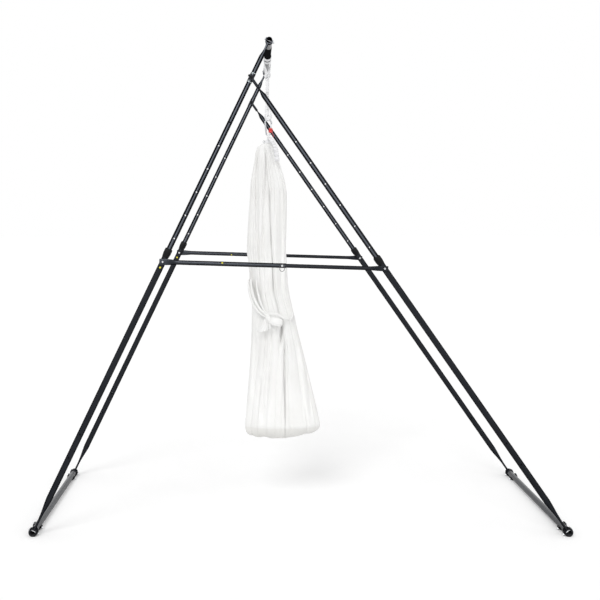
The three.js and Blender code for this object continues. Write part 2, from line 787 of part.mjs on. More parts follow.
// Sling: a loop round the sleeve, a knot, a doubled strap and a daisy chain down to the carabiner
function sling() {
  const halfStep = (Math.PI * 7) / 6 / slingLoopSteps / 2;
  const loopRadius = (sleeveRadius + seatGap) / Math.cos(halfStep) + webbingThickness / 2;
  const loop = sweepInPlane([
    ...arcPath(0, 0, loopRadius, -Math.PI / 12, (13 * Math.PI) / 12, slingLoopSteps),
    new THREE.Vector2(-webbingThickness, -slingLoopDrop),
    new THREE.Vector2(webbingThickness, -slingLoopDrop),
  ], flatSection(webbingThickness, webbingWidth), true).translate([0, 0, barAxisHeight]);
  const knotHeight = barAxisHeight - slingLoopDrop;
  const rodHeight = carabinerTop - carabinerRod;
  const eyeTop = rodHeight + eyeLength;
  const daisyTop = barAxisHeight - daisyTopDrop;
  const lensHeight = (daisyTop - eyeTop) / daisyLoopCount;
  const eyeRadius = (carabinerRod + eyeEase) * rodBow + webbingThickness / 2;
  const eye = sweepInPlane([
    ...arcPath(0, rodHeight, eyeRadius, Math.PI, 2 * Math.PI, rodSides / 2),
    new THREE.Vector2(webbingThickness / 2, eyeTop),
    new THREE.Vector2(-webbingThickness / 2, eyeTop),
  ], flatSection(webbingThickness, eyeWidth), true).rotate([0, 0, 90]);
  const pieces = [
    loop,
    knot(knotHalfWidth, knotHalfDepth, knotHalfHeight).translate([0, 0, knotHeight]),
    block(strapWidth, strapThickness, daisyTop - weldOverlap, knotHeight),
  ];
  for (let i = 0; i < daisyLoopCount; i += 1) {
    const low = eyeTop + lensHeight * i;
    pieces.push(webbingLens(low, low + lensHeight, daisyHalfGap, strapWidth).rotate([0, 0, 90]));
  }
  return joinAll(pieces).translate([barAxisX, 0, 0]).add(eye.translate([carabinerX, 0, 0]));
}
put(rig, 'sling', sling(), whiteWebbing);

// Carabiner: a pear-shaped rod, open on its right side where the gate closes it
const bendDrop = Math.asin((carabinerTopBend - carabinerBottomBend) / carabinerStraight);
const gateLength = carabinerStraight * Math.cos(bendDrop);
const hingeX = carabinerX + carabinerBottomBend * Math.cos(bendDrop);
const hingeZ = bottomBendHeight - carabinerBottomBend * Math.sin(bendDrop);
const gatePivotRise = hingeRise + gateGap + gateRadius;

// A place on the line of the gate, at a height above the end of the lower bend
function onGateLine(rise) {
  return new THREE.Vector2(hingeX + rise * Math.sin(bendDrop), hingeZ + rise * Math.cos(bendDrop));
}

function carabinerBody() {
  const back = Math.PI + bendDrop;
  const path = [
    onGateLine(gateLength - noseLength),
    ...arcPath(carabinerX, topBendHeight, carabinerTopBend, -bendDrop, back, 11),
    ...arcPath(carabinerX, bottomBendHeight, carabinerBottomBend, back, 2 * Math.PI - bendDrop, 8),
    onGateLine(hingeRise),
  ];
  path[0].size = gateRadius / carabinerRod;
  path[1].size = gateRadius / carabinerRod;
  return sweepInPlane(path, roundSection(carabinerRod, rodSides), false);
}

function gate() {
  const tip = gateLength - noseLength - gateGap - gatePivotRise;
  const outline = [
    [0, -gateRadius],
    [gateTipRadius, -gateRadius],
    [gateRadius, -gateTipRadius],
    [gateRadius, tip],
    [0, tip],
  ].map(([radius, z]) => new THREE.Vector2(radius, z));
  return solidOf(new THREE.LatheGeometry(outline, rodSides).rotateX(Math.PI / 2));
}

function gateSleeve() {
  const bore = gateRadius + slideClearance;
  const outline = [
    [bore, 0],
    [bore + gateSleeveWall, 0],
    [bore + gateSleeveWall, gateSleeveLength],
    [bore, gateSleeveLength],
    [bore, 0],
  ].map(([radius, z]) => new THREE.Vector2(radius, gateSleeveStart + z));
  return solidOf(new THREE.LatheGeometry(outline, rodSides).rotateX(Math.PI / 2));
}

put(rig, 'carabiner_body', carabinerBody(), steel);
const gateFrame = new THREE.Group();
const gatePivot = onGateLine(gatePivotRise);
gateFrame.position.set(gatePivot.x, 0, gatePivot.y);
gateFrame.rotation.y = bendDrop;
rig.add(gateFrame);
put(gateFrame, 'carabiner_gate', gate(), steel);
put(gateFrame, 'gate_sleeve', gateSleeve(), redAlloy);

// Outline of the hanging cloth from top to bottom, with shares of its drop, half width and half depth:
// height, place of the middle, half width, half depth, fold strength. The waist is straight for the tie.
const hollowShares = [0.04, 0.9];
const waistShares = {
  rise: 0.401,
  reach: 0.02,
  middle: 0.14,
  halfWidth: 0.5,
  halfDepth: 0.7,
  fold: 0.15,
};
const waistRow = (step) => {
  const { rise, reach, middle, halfWidth, halfDepth, fold } = waistShares;
  return [rise + step * reach, middle, halfWidth, halfDepth, fold];
};
const clothShares = [
  [1, 0, 0.06, 0.12, 0],
  [0.9992, 0, neckHalfWidth / hammockHalfWidth, neckHalfDepth / hammockHalfDepth, 0],
  [0.984, 0, neckHalfWidth / hammockHalfWidth, neckHalfDepth / hammockHalfDepth, 0],
  [0.979, -0.04, 0.14, 0.24, 0.2],
  [0.966, -0.06, 0.26, 0.36, 0.5],
  [0.933, -0.02, 0.32, 0.45, 0.8],
  [0.85, 0, 0.44, 0.58, 1],
  [0.733, -0.02, 0.48, 0.66, 1],
  [0.633, -0.055, 0.49, 0.7, 1],
  [0.51, 0.025, 0.49, 0.72, 1],
  [0.44, 0.11, 0.5, 0.72, 0.5],
  waistRow(1),
  waistRow(-1),
  [0.37, 0.17, 0.54, 0.74, 0.5],
  [0.329, 0.2, 0.62, 0.84, 0.9],
  [0.189, 0.275, 0.79, 0.95, 1],
  [0.055, 0.357, 0.965, 1, 1],
  [0.03, 0.335, 0.95, 0.97, 0.8],
  [0.012, 0.31, 0.8, 0.82, 0.5],
  [0, 0.3, 0.45, 0.5, 0],
];

const waistHeight = hammockBottom + hammockLength * waistShares.rise;

function clothRing([height, middle, halfWidth, halfDepth, fold], count, inset) {
  const z = hammockBottom + hammockLength * height;
  const ring = [];
  for (let i = 0; i < count; i += 1) {
    const turn = (2 * Math.PI * i) / count;
    const angle = turn - fold / hammockFolds;
    const wave = fold * hammockFoldDepth * Math.cos(hammockFolds * turn);
    const wide = halfWidth * hammockHalfWidth + wave - inset;
    const deep = halfDepth * hammockHalfDepth + wave - inset;
    const x = carabinerX + middle * hammockHalfWidth + wide * Math.cos(angle);
    ring.push(new THREE.Vector3(x, deep * Math.sin(angle), z));
  }
  return ring;
}

// A plain round taper between two points
function taper(from, to, fromRadius, toRadius) {
  const [start, end] = [new THREE.Vector3(...from), new THREE.Vector3(...to)];
  const length = start.distanceTo(end);
  const cone = new THREE.CylinderGeometry(toRadius, fromRadius, length, rodSides);
  const turn = new THREE.Quaternion().setFromUnitVectors(
    new THREE.Vector3(0, 1, 0),
    end.clone().sub(start).normalize(),
  );
  const middle = start.add(end).divideScalar(2);
  return solidOf(cone.applyQuaternion(turn).translate(middle.x, middle.y, middle.z));
}

function hammock() {
  const count = hammockFolds * stepsPerFold;
  const outside = clothShares.map((row) => clothRing(row, count, 0)).reverse();
  const [coreLowShare, coreHighShare] = hollowShares;
  const coreRows = clothShares.filter(([height]) => height > coreLowShare && height < coreHighShare);
  const coreCount = hammockFolds * coreStepsPerFold;
  const core = coreRows.map((row) => clothRing(row, coreCount, hammockWall)).reverse();
  const creaseDepth = hammockHalfDepth + overrun;
  const crease = block(creaseWidth, creaseDepth, creaseStart, creaseStart + creaseLength);
  const sashTop = [carabinerX + sashTopAside, -sashTopFront, waistHeight + sashTopRise];
  const sashBottom = [carabinerX + sashBottomAside, -sashBottomFront, waistHeight + sashBottomRise];
  const body = solidOf(loft(outside)).add(taper(sashTop, sashBottom, sashTopRadius, sashBottomRadius));
  const creasePlace = [carabinerX + creaseShift, -creaseDepth / 2, hammockBottom];
  return cutAll(body, [solidOf(loft(core)), crease.translate(creasePlace)]);
}
put(rig, 'hammock', hammock(), whiteCloth);

// An upright band round an ellipse, with its inner size given
function band(halfWidth, halfDepth, wall, height, count) {
  const oval = (grow, z) => {
    const ring = [];
    for (let i = 0; i < count; i += 1) {
      const angle = (2 * Math.PI * i) / count;
      const [x, y] = [(halfWidth + grow) * Math.cos(angle), (halfDepth + grow) * Math.sin(angle)];
      ring.push(new THREE.Vector3(x, y, z));
    }
    return ring;
  };
  const half = height / 2;
  const reach = 2 * tieKnotHalfHeight;
  return {
    outer: solidOf(loft([oval(wall, -half), oval(wall, half)])),
    column: solidOf(loft([oval(0, -reach), oval(0, reach)])),
  };
}

// The choker grips the neck of the cloth, hooks on the carabiner and leaves a tail of sewn loops
function choker() {
  const neckBow = 1 / Math.cos(Math.PI / chokerSides);
  const inner = [neckHalfWidth * neckBow + seatGap, neckHalfDepth * neckBow + seatGap];
  const grip = band(inner[0], inner[1], chokerWall, chokerWidth, chokerSides);
  const eyeRadius = (carabinerRod + eyeEase) * rodBow + webbingThickness / 2;
  const legY = inner[1] + chokerWall - webbingThickness / 2;
  const hook = sweepInPlane([
    new THREE.Vector2(legY, 0),
    new THREE.Vector2(legY, neckRise + seatGap),
    ...arcPath(0, chokerDrop, eyeRadius, 0, Math.PI, rodSides / 2),
    new THREE.Vector2(-legY, neckRise + seatGap),
    new THREE.Vector2(-legY, 0),
  ], flatSection(webbingThickness, eyeWidth), false).rotate([0, 0, 90]);
  const tailStart = [inner[0] / 2, -inner[1] - chokerWall / 2];
  const tilt = Math.atan2(tailReach, tailLength);
  const lens = tailLength / tailLoopCount;
  const tail = [];
  for (let i = 0; i < tailLoopCount; i += 1) {
    const loop = webbingLens(-lens * (i + 1), -lens * i, tailThickness / 2, tailWidth).rotate([0, 0, 90]);
    tail.push(loop.rotate([0, THREE.MathUtils.radToDeg(-tilt), 0]));
  }
  const lean = THREE.MathUtils.radToDeg(-Math.atan2(tailClearance, tailLength));
  const hung = joinAll(tail).rotate([lean, 0, 0]).translate([tailStart[0], tailStart[1], 0]);
  const whole = grip.outer.subtract(grip.column).add(hook);
  return whole.add(hung).translate([carabinerX, 0, chokerHeight]);
}
put(rig, 'hammock_choker', choker(), whiteWebbing);

// The tie: a band round the waist and its knot at the front
function tie() {
  const { middle, halfWidth, halfDepth, fold } = waistShares;
  const bow = 1 / Math.cos(Math.PI / tieSides);
  const wave = fold * hammockFoldDepth + seatGap;
  const wide = halfWidth * hammockHalfWidth * bow + wave;
  const deep = halfDepth * hammockHalfDepth * bow + wave;
  const grip = band(wide, deep, tieBandWall, tieBandHeight, tieSides);
  const x = carabinerX + middle * hammockHalfWidth;
  const front = knot(tieKnotHalfWidth, tieKnotHalfDepth, tieKnotHalfHeight);
  const placed = front.translate([carabinerX + tieKnotShift - x, -deep - tieBandWall, 0]);
  return grip.outer.add(placed).subtract(grip.column).translate([x, 0, waistHeight]);
}
put(rig, 'hammock_tie', tie(), whiteCloth);

export default rig;
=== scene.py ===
import json
from math import cos, hypot, pi, radians, sin, sqrt

import bpy
import numpy as np
from mathutils import Matrix, Vector


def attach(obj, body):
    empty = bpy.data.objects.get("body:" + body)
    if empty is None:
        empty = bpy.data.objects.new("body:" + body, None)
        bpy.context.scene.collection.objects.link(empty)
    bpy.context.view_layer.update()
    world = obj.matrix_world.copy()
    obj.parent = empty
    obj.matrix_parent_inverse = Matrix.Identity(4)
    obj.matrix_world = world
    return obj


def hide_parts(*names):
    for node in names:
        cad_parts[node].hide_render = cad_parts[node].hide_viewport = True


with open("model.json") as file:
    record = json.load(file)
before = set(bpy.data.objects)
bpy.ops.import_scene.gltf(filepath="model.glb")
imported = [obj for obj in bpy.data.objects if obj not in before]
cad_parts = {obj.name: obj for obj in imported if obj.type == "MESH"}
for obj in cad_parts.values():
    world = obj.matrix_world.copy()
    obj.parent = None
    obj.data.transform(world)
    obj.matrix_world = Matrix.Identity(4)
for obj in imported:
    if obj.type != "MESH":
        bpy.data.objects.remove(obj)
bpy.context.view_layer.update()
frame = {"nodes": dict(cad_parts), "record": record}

# Places repeated from the part's source, in metres
BAR_X, BAR_Z = -0.184, 2.884
HOOK_X = -0.178
SLEEVE_RADIUS = 0.0223
KNOT_Z = 2.766
DAISY_TOP_Z = 2.640
ROD_Z = 2.4845
NECK_Z = 2.338
LEFT_TILT, RIGHT_TILT, CROSSBAR_TILT = radians(25.6358), radians(34.8982), radians(1.7324)
LEFT_CLAMP, RIGHT_CLAMP = (-0.8021, 1.596), (0.4873, 1.557)
LEG_PLANE, CROSSBAR_PLANE = 0.5765, 0.6053
LEG_RADIUS, CROSSBAR_RADIUS = 0.016, 0.0125
LEG_AHEAD = Vector((sin(LEFT_TILT), 0, cos(LEFT_TILT)))
BAR_AHEAD = Vector((cos(CROSSBAR_TILT), 0, -sin(CROSSBAR_TILT)))
FRONT, BACK = Vector((0, -1, 0)), Vector((0, 1, 0))
ENDS = (("front", -1), ("back", 1))
SLOTS = {row["node"]: row["material_slot"] for row in frame["record"]["subparts"]}


def placed(name, data):
    """A new object in the scene."""
    thing = bpy.data.objects.new(name, data)
    bpy.context.scene.collection.objects.link(thing)
    return thing


# ---- camera

CAMERA_PLACE = (-0.284, -5.646, 1.881)
LENS, SENSOR, FAR_CLIP = 52.2, 36, 200
SHIFT = (0.0801, -0.1453)


def make_camera():
    """The photograph's view: level, looking along +Y, with a shift for its framing."""
    data = bpy.data.cameras.new("camera")
    cam = placed("camera", data)
    cam.location = CAMERA_PLACE
    cam.rotation_euler = (radians(90), 0, 0)
    data.lens, data.sensor_width, data.clip_end = LENS, SENSOR, FAR_CLIP
    data.shift_x, data.shift_y = SHIFT
    bpy.context.scene.camera = cam


# ---- node helpers

class Graph:
    """A small wrapper that adds nodes to one material or world and joins them."""

    def __init__(self, name, kind="materials", shader="Principled BSDF"):
        self.owner = getattr(bpy.data, kind).new(name)
        self.owner.use_nodes = True
        self.tree = self.owner.node_tree
        self.shader = self.tree.nodes[shader]

    def add(self, kind, inputs=(), **settings):
        node = self.tree.nodes.new(kind)
        for key, value in settings.items():
            setattr(node, key, value)
        for key, value in dict(inputs).items():
            self.feed(node.inputs[key], value)
        return node

    def feed(self, socket, value):
        if isinstance(value, bpy.types.NodeSocket):
            self.tree.links.new(value, socket)
        else:
            socket.default_value = value

    def math(self, operation, a, b=0.0, clamp=False):
        node = self.add("ShaderNodeMath", operation=operation, use_clamp=clamp)
        self.feed(node.inputs[0], a)
        self.feed(node.inputs[1], b)
        return node.outputs[0]

    def range(self, value, low, high, to_low, to_high):
        names = ("Value", "From Min", "From Max", "To Min", "To Max")
        node = self.add("ShaderNodeMapRange", dict(zip(names, (value, low, high, to_low, to_high))))
        return node.outputs[0]

    def coords(self, kind="Object", scale=(1, 1, 1)):
        source = self.add("ShaderNodeTexCoord").outputs[kind]
        return self.add("ShaderNodeMapping", {"Vector": source, "Scale": scale}).outputs[0]

    def height_of(self, vector):
        return self.add("ShaderNodeSeparateXYZ", {"Vector": vector}).outputs["Z"]

    def noise(self, where, scale, detail=3.0, roughness=0.5):
        given = {"Vector": where, "Scale": scale, "Detail": detail, "Roughness": roughness}
        return self.add("ShaderNodeTexNoise", given).outputs["Fac"]

    def wave(self, where, scale, direction, distortion=0.0):
        given = {"Vector": where, "Scale": scale, "Distortion": distortion}
        return self.add("ShaderNodeTexWave", given, bands_direction=direction).outputs["Fac"]

    def ramp(self, fac, stops):
        node = self.add("ShaderNodeValToRGB", {"Fac": fac})
        marks = node.color_ramp.elements
        while len(marks) < len(stops):
            marks.new(0.5)
        for mark, (place, colour) in zip(marks, stops):
            mark.position, mark.color = place, (*colour, 1)
        return node.outputs["Color"]

    def mix(self, fac, a, b):
        node = self.add("ShaderNodeMix", data_type="RGBA")
        self.feed(node.inputs[0], fac)
        for socket, value in ((node.inputs[6], a), (node.inputs[7], b)):
            self.feed(socket, value if isinstance(value, bpy.types.NodeSocket) else (*value, 1))
        return node.outputs[2]

    def bump(self, height, strength, distance, normal=None):
        given = {"Height": height, "Strength": strength, "Distance": distance}
        node = self.add("ShaderNodeBump", given)
        if normal is not None:
            self.feed(node.inputs["Normal"], normal)
        return node.outputs[0]

    def set(self, **values):
        for key, value in values.items():
            self.feed(self.shader.inputs[key.replace("_", " ")], value)
        return self.owner


def edge_wear(g):
    """How much an edge stands out, from 0 on flats to 1 on sharp edges."""
    pointed = g.add("ShaderNodeNewGeometry").outputs["Pointiness"]
    return g.range(pointed, 0.53, 0.62, 0.0, 1.0)


# ---- materials

NEVER = 9.0  # a height above the whole rig


def powder_coat(name, smooth, rough, gloss, dust_and_painted_top_light, fade=None, ior=1.5, dull_from=NEVER):
    """Black paint with orange peel, wear on edges, and dust with painted top light on what faces up.

    fade is how far off the middle its gloss ends, and above the height dull_from little gloss is left.
    """
    g = Graph(name)
    where = g.coords()
    broad = g.noise(where, 9, 4)
    fine = g.noise(where, 900, 2)
    worn = g.math("MULTIPLY", edge_wear(g), g.noise(where, 140, 4), clamp=True)
    tone = g.ramp(broad, [(0.3, (0.0055, 0.006, 0.0075)), (0.7, (0.0095, 0.0105, 0.0135))])
    colour = g.mix(g.math("MULTIPLY", worn, 0.3), tone, (0.1, 0.1, 0.105))
    # What faces up is lightened: partly dust, partly painted top light that stands in for the reflection of light
    # from above.
    up = g.height_of(g.add("ShaderNodeNewGeometry").outputs["Normal"])
    painted_top_light_and_dust_mask = g.math("MULTIPLY", g.range(up, 0.35, 0.95, 0.0, dust_and_painted_top_light), g.range(g.noise(where, 60, 4), 0.3, 0.7, 0.7, 1.0))
    colour = g.mix(painted_top_light_and_dust_mask, colour, (0.095, 0.096, 0.1))
    g.set(
        Base_Color=colour,
        Roughness=g.range(broad, 0.3, 0.7, smooth, rough),
        Normal=g.bump(fine, 0.12, 0.0004),
        Specular_IOR_Level=gloss,
        Specular_Tint=(0.8, 0.87, 1, 1),
        IOR=ior,
    )
    if fade:
        facing = g.add("ShaderNodeLayerWeight", {"Blend": 0.5}).outputs["Facing"]
        high = g.height_of(where)
        lit = g.math(
            "MULTIPLY", g.range(facing, 0.0, fade, gloss, 0.0), g.range(high, dull_from - 0.06, dull_from, 1.0, 0.12),
        )
        g.set(Specular_IOR_Level=lit)
    return g.owner


def moulded(name, low, high, roughness, gloss=0.35):
    """Plastic or rubber with a fine grain, between two tones."""
    g = Graph(name)
    where = g.coords()
    grain = g.noise(where, 1500, 2)
    broad = g.noise(where, 40, 3)
    tone = g.ramp(broad, [(0.3, low), (0.7, high)])
    return g.set(
        Base_Color=tone,
        Roughness=g.range(broad, 0.3, 0.7, roughness - 0.07, roughness + 0.07),
        Normal=g.bump(grain, 0.25, 0.0003),
        Specular_IOR_Level=gloss,
    )


def plated(name, low, high, roughness):
    """Bare or plated metal with cloudy gloss and fine scratches."""
    g = Graph(name)
    where = g.coords()
    cloudy = g.noise(where, 220, 4, 0.6)
    scratch = g.noise(g.coords(scale=(1, 1, 9)), 700, 2)
    return g.set(
        Base_Color=g.ramp(cloudy, [(0.3, low), (0.7, high)]),
        Metallic=1.0,
        Roughness=g.range(cloudy, 0.3, 0.7, roughness - 0.08, roughness + 0.1),
        Normal=g.bump(scratch, 0.1, 0.0002),
    )


def anodised_red():
    """Red alloy, paler where its edges are worn."""
    g = Graph("anodised_red")
    where = g.coords()
    cloudy = g.noise(where, 300, 3)
    worn = g.math("MULTIPLY", edge_wear(g), 0.5)
    tone = g.ramp(cloudy, [(0.3, (0.52, 0.012, 0.012)), (0.7, (0.66, 0.03, 0.026))])
    return g.set(
        Base_Color=g.mix(worn, tone, (0.8, 0.45, 0.42)),
        Metallic=0.35,
        Roughness=g.range(cloudy, 0.3, 0.7, 0.3, 0.42),
        Normal=g.bump(g.noise(where, 2500, 1), 0.1, 0.0002),
    )


def webbing_cloth(name, tint, dark):
    """Narrow woven webbing; its UVs are metres across and along."""
    g = Graph(name)
    where = g.coords("UV")
    across = g.wave(where, 340, "X")
    along = g.wave(where, 260, "Y", 0.6)
    weave = g.math("MULTIPLY", across, along)
    soil = g.noise(g.coords(), 35, 4)
    base = g.ramp(soil, [(0.3, dark), (0.65, tint)])
    # Darker in the weave's gaps: painted shade.
    shade = g.mix(g.range(weave, 0.0, 0.5, 0.07, 0.0), base, (0.45, 0.45, 0.46))
    return g.set(
        Base_Color=shade,
        Roughness=g.range(weave, 0.0, 1.0, 0.95, 0.75),
        Normal=g.bump(weave, 0.12, 0.0004),
        Sheen_Weight=0.25,
        Sheen_Roughness=0.4,
        Specular_IOR_Level=0.25,
    )


def silk_cloth():
    """Knitted nylon: fine lengthwise wrinkles, a knit too fine to see from far, and a soft sheen."""
    g = Graph("silk")
    flat = g.coords("UV")
    long = g.coords("UV", (1, 0.12, 1))
    wrinkles = g.noise(long, 95, 5, 0.6)
    ripples = g.noise(g.coords("UV", (1, 0.3, 1)), 28, 3)
    knit = g.math("MULTIPLY", g.wave(flat, 420, "X"), g.wave(flat, 420, "Y"))
    mottled = g.noise(g.coords(), 5, 3)
    tone = g.ramp(mottled, [(0.3, (0.845, 0.842, 0.825)), (0.7, (0.9, 0.9, 0.89))])
    low = g.height_of(g.coords())
    # A beige band, darker towards the bottom with an abrupt top edge: painted shade where the cloth turns under.
    painted_bottom_shade = g.math("ADD", g.range(low, 0.498, 0.506, 0.22, 0.0), g.range(low, 0.40, 0.498, 0.2, 0.0))
    tone = g.mix(painted_bottom_shade, tone, (0.66, 0.64, 0.585))
    folds = g.bump(ripples, 0.18, 0.012)
    fine = g.bump(wrinkles, 0.2, 0.004, folds)
    return g.set(
        Base_Color=tone,
        Roughness=g.range(wrinkles, 0.3, 0.7, 0.55, 0.72),
        Normal=g.bump(knit, 0.25, 0.0003, fine),
        Sheen_Weight=0.3,
        Sheen_Roughness=0.35,
        Specular_IOR_Level=0.3,
    )


def sticker_paper():
    """Plain yellow paper."""
    g = Graph("sticker")
    print_grain = g.noise(g.coords(), 600, 3)
    tone = g.ramp(print_grain, [(0.3, (0.78, 0.68, 0.03)), (0.7, (0.86, 0.77, 0.05))])
    return g.set(
        Base_Color=tone,
        Roughness=g.range(print_grain, 0.3, 0.7, 0.4, 0.55),
        Normal=g.bump(print_grain, 0.1, 0.0002),
    )


MATERIALS = {
    "black_steel": powder_coat("satin_black", 0.42, 0.52, 0.24, 0.04, 0.3),
    "black_plastic": moulded("collar_plastic", (0.0035, 0.0037, 0.0045), (0.006, 0.0063, 0.0075), 0.5, 0.16),
    "rubber": moulded("foot_rubber", (0.004, 0.004, 0.004), (0.009, 0.009, 0.009), 0.75, 0.14),
    "zinc": plated("zinc_plate", (0.55, 0.56, 0.58), (0.7, 0.71, 0.72), 0.34),
    "steel": plated("polished_steel", (0.42, 0.43, 0.45), (0.56, 0.57, 0.58), 0.24),
    "red_alloy": anodised_red(),
    "webbing": webbing_cloth("webbing", (0.85, 0.852, 0.86), (0.77, 0.772, 0.785)),
    "cloth": silk_cloth(),
}
# Base tubes and top bar take a strong share of dust and painted top light on what faces up.
GLOSS_BLACK = powder_coat("gloss_black", 0.2, 0.3, 0.35, 0.6)
SEMI_BLACK = powder_coat("semi_gloss_black", 0.2, 0.28, 1.0, 0.04, 0.07, 1.75)
FORK_BLACK = powder_coat("fork_black", 0.2, 0.28, 1.0, 0.04, 0.07, 1.75, 2.6)
BAR_BLACK = powder_coat("bar_black", 0.22, 0.30, 0.75, 0.1, 0.18)
DARK_STEEL = plated("dark_steel", (0.10, 0.10, 0.105), (0.17, 0.17, 0.175), 0.3)
# Bright zinc for the pivot sleeve's strips, which stand in for its highlight lines: painted highlights.
HIGHLIGHT_ZINC = plated("painted_highlight_zinc", (0.60, 0.68, 0.69), (0.80, 0.86, 0.87), 0.42)
MATTE_RUBBER = moulded("matte_rubber", (0.007, 0.007, 0.008), (0.012, 0.012, 0.013), 0.9, 0.0)
STICKER = sticker_paper()
RED_TAPE = webbing_cloth("red_tape", (0.62, 0.04, 0.075), (0.5, 0.03, 0.055))
THREAD = moulded("thread", (0.6, 0.6, 0.6), (0.7, 0.7, 0.69), 0.8)


# ---- CAD nodes kept

SHARP_ANGLE = radians(32)


def smoothing():
    """A modifier's node group that shades flat facets round and keeps sharp edges."""
    group = bpy.data.node_groups.new("round_shading", "GeometryNodeTree")
    for way in ("INPUT", "OUTPUT"):
        group.interface.new_socket("Geometry", in_out=way, socket_type="NodeSocketGeometry")
    start = group.nodes.new("NodeGroupInput")
    end = group.nodes.new("NodeGroupOutput")
    merge = group.nodes.new("GeometryNodeMergeByDistance")
    merge.inputs["Distance"].default_value = 1e-6
    faces = group.nodes.new("GeometryNodeSetShadeSmooth")
    edges = group.nodes.new("GeometryNodeSetShadeSmooth")
    edges.domain = "EDGE"
    edges.inputs["Shade Smooth"].default_value = False
    angle = group.nodes.new("GeometryNodeInputMeshEdgeAngle")
    sharp = group.nodes.new("FunctionNodeCompare")
    sharp.operation = "GREATER_THAN"
    sharp.inputs["B"].default_value = SHARP_ANGLE
    link = group.links.new
    for source, node in ((start, merge), (merge, faces), (faces, edges), (edges, end)):
        link(source.outputs[0], node.inputs[0])
    link(angle.outputs["Unsigned Angle"], sharp.inputs["A"])
    link(sharp.outputs["Result"], edges.inputs["Selection"])
    return group


# Finishes that differ from the slot's own, by a part of the node's name; the first that fits is taken
SPECIAL = {
    "base_tube": GLOSS_BLACK,
    "top_bar": GLOSS_BLACK,
    "right_upper_leg": FORK_BLACK,
    "upper_leg": SEMI_BLACK,
    "crossbar_outer": BAR_BLACK,
    "lock_pin_ring": DARK_STEEL,
    "pivot_bolt": MATERIALS["black_plastic"],
    "bar_sleeve": MATTE_RUBBER,
}


def dress_cad_nodes():
    """Gives every CAD node its material and round shading."""
    group = smoothing()
    for name, node in frame["nodes"].items():
        material = next((SPECIAL[part] for part in SPECIAL if part in name), MATERIALS[SLOTS[name]])
        node.data.materials.clear()
        node.data.materials.append(material)
        node.modifiers.new("round_shading", "NODES").node_group = group


# Widened tubes: node, body, axis, growth to each side, where along the axis the growth starts and stops, and its fade
LEG_GROWTH, COLLAR_GROWTH, BAR_GROWTH = 0.0024, 0.0023, 0.0010
LEFT_AXIS = (LEFT_CLAMP, (sin(LEFT_TILT), cos(LEFT_TILT)))
RIGHT_AXIS = (RIGHT_CLAMP, (-sin(RIGHT_TILT), cos(RIGHT_TILT)))
BAR_AXIS = (LEFT_CLAMP, (cos(CROSSBAR_TILT), -sin(CROSSBAR_TILT)))
FAR = 9.0  # past the end of any tube
WIDENED = [
    ("left_lower_leg", "left_lower", LEFT_AXIS, LEG_GROWTH, -1.66, FAR, 0.13),
    ("right_lower_leg", "right_lower", RIGHT_AXIS, LEG_GROWTH, -1.79, FAR, 0.13),
    ("left_collar", "left_lower", LEFT_AXIS, COLLAR_GROWTH, -FAR, FAR, 0.13),
    ("right_collar", "right_lower", RIGHT_AXIS, COLLAR_GROWTH, -FAR, FAR, 0.13),
    ("left_upper_leg", "left_upper", LEFT_AXIS, LEG_GROWTH, -FAR, 1.12, 0.06),
    ("right_upper_leg", "right_upper", RIGHT_AXIS, LEG_GROWTH, -FAR, 1.28, 0.18),
    ("crossbar_outer", "crossbar_outer", BAR_AXIS, BAR_GROWTH, 0.02, FAR, 0.06),
    ("crossbar_inner", "crossbar_inner", BAR_AXIS, BAR_GROWTH, -FAR, 1.27, 0.06),
]


def widen_tubes():
    """Stand-ins for the legs, collars and crossbars, a little wider in their frame's plane, as photographed."""
    for part, body, ((x, z), (ahead_x, ahead_z)), growth, start, stop, fade in WIDENED:
        ahead = Vector((ahead_x, 0, ahead_z))
        across = Vector((ahead_z, 0, -ahead_x))
        for end, side in ENDS:
            name = f"{part}_{end}"
            node = frame["nodes"][name]
            plane_y = side * (CROSSBAR_PLANE if "crossbar" in part else LEG_PLANE)
            mesh = node.data.copy()
            for vert in mesh.vertices:
                off = vert.co - Vector((x, plane_y, z))
                run, out = off.dot(ahead), off.dot(across)
                reach = growth * ease((run - start) / fade) * ease((stop - run) / fade)
                vert.co += across * (reach * out / max(1e-6, hypot(out, off.y)))
            piece = placed(f"{name}_tube", mesh)
            piece.modifiers.new("round_shading", "NODES").node_group = node.modifiers["round_shading"].node_group
            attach(piece, body)
            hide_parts(name)


# ---- mesh helpers

def mesh_piece(name, verts, faces, uvs, material, body):
    """A mesh object from points, faces and one UV pair for each corner of each face."""
    mesh = bpy.data.meshes.new(name)
    mesh.from_pydata([tuple(v) for v in verts], [], faces)
    layer = mesh.uv_layers.new(name="UVMap")
    flat = np.array([uv for face in uvs for uv in face], np.float32)
    layer.data.foreach_set("uv", flat.ravel())
    mesh.polygons.foreach_set("use_smooth", [True] * len(faces))
    mesh.materials.append(material)
    piece = placed(name, mesh)
    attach(piece, body)
    return piece


def grid(points, across, along, around=False):
    """Verts, faces and UVs of a grid of rows and columns; around joins its last column to its first."""
    rows, columns = len(points), len(points[0])
    verts = [p for row in points for p in row]
    faces, uvs = [], []
    for r in range(rows - 1):
        for c in range(columns if around else columns - 1):
            n = (c + 1) % columns
            faces.append((r * columns + c, r * columns + n, (r + 1) * columns + n, (r + 1) * columns + c))
            right = across[c + 1]
            uvs.append([(across[c], along[r]), (right, along[r]), (right, along[r + 1]), (across[c], along[r + 1])])
    return verts, faces, uvs


def joined(parts):
    """Several grids as one."""
    verts, faces, uvs = [], [], []
    for v, f, u in parts:
        start = len(verts)
        verts += v
        faces += [tuple(start + i for i in face) for face in f]
        uvs += u
    return verts, faces, uvs


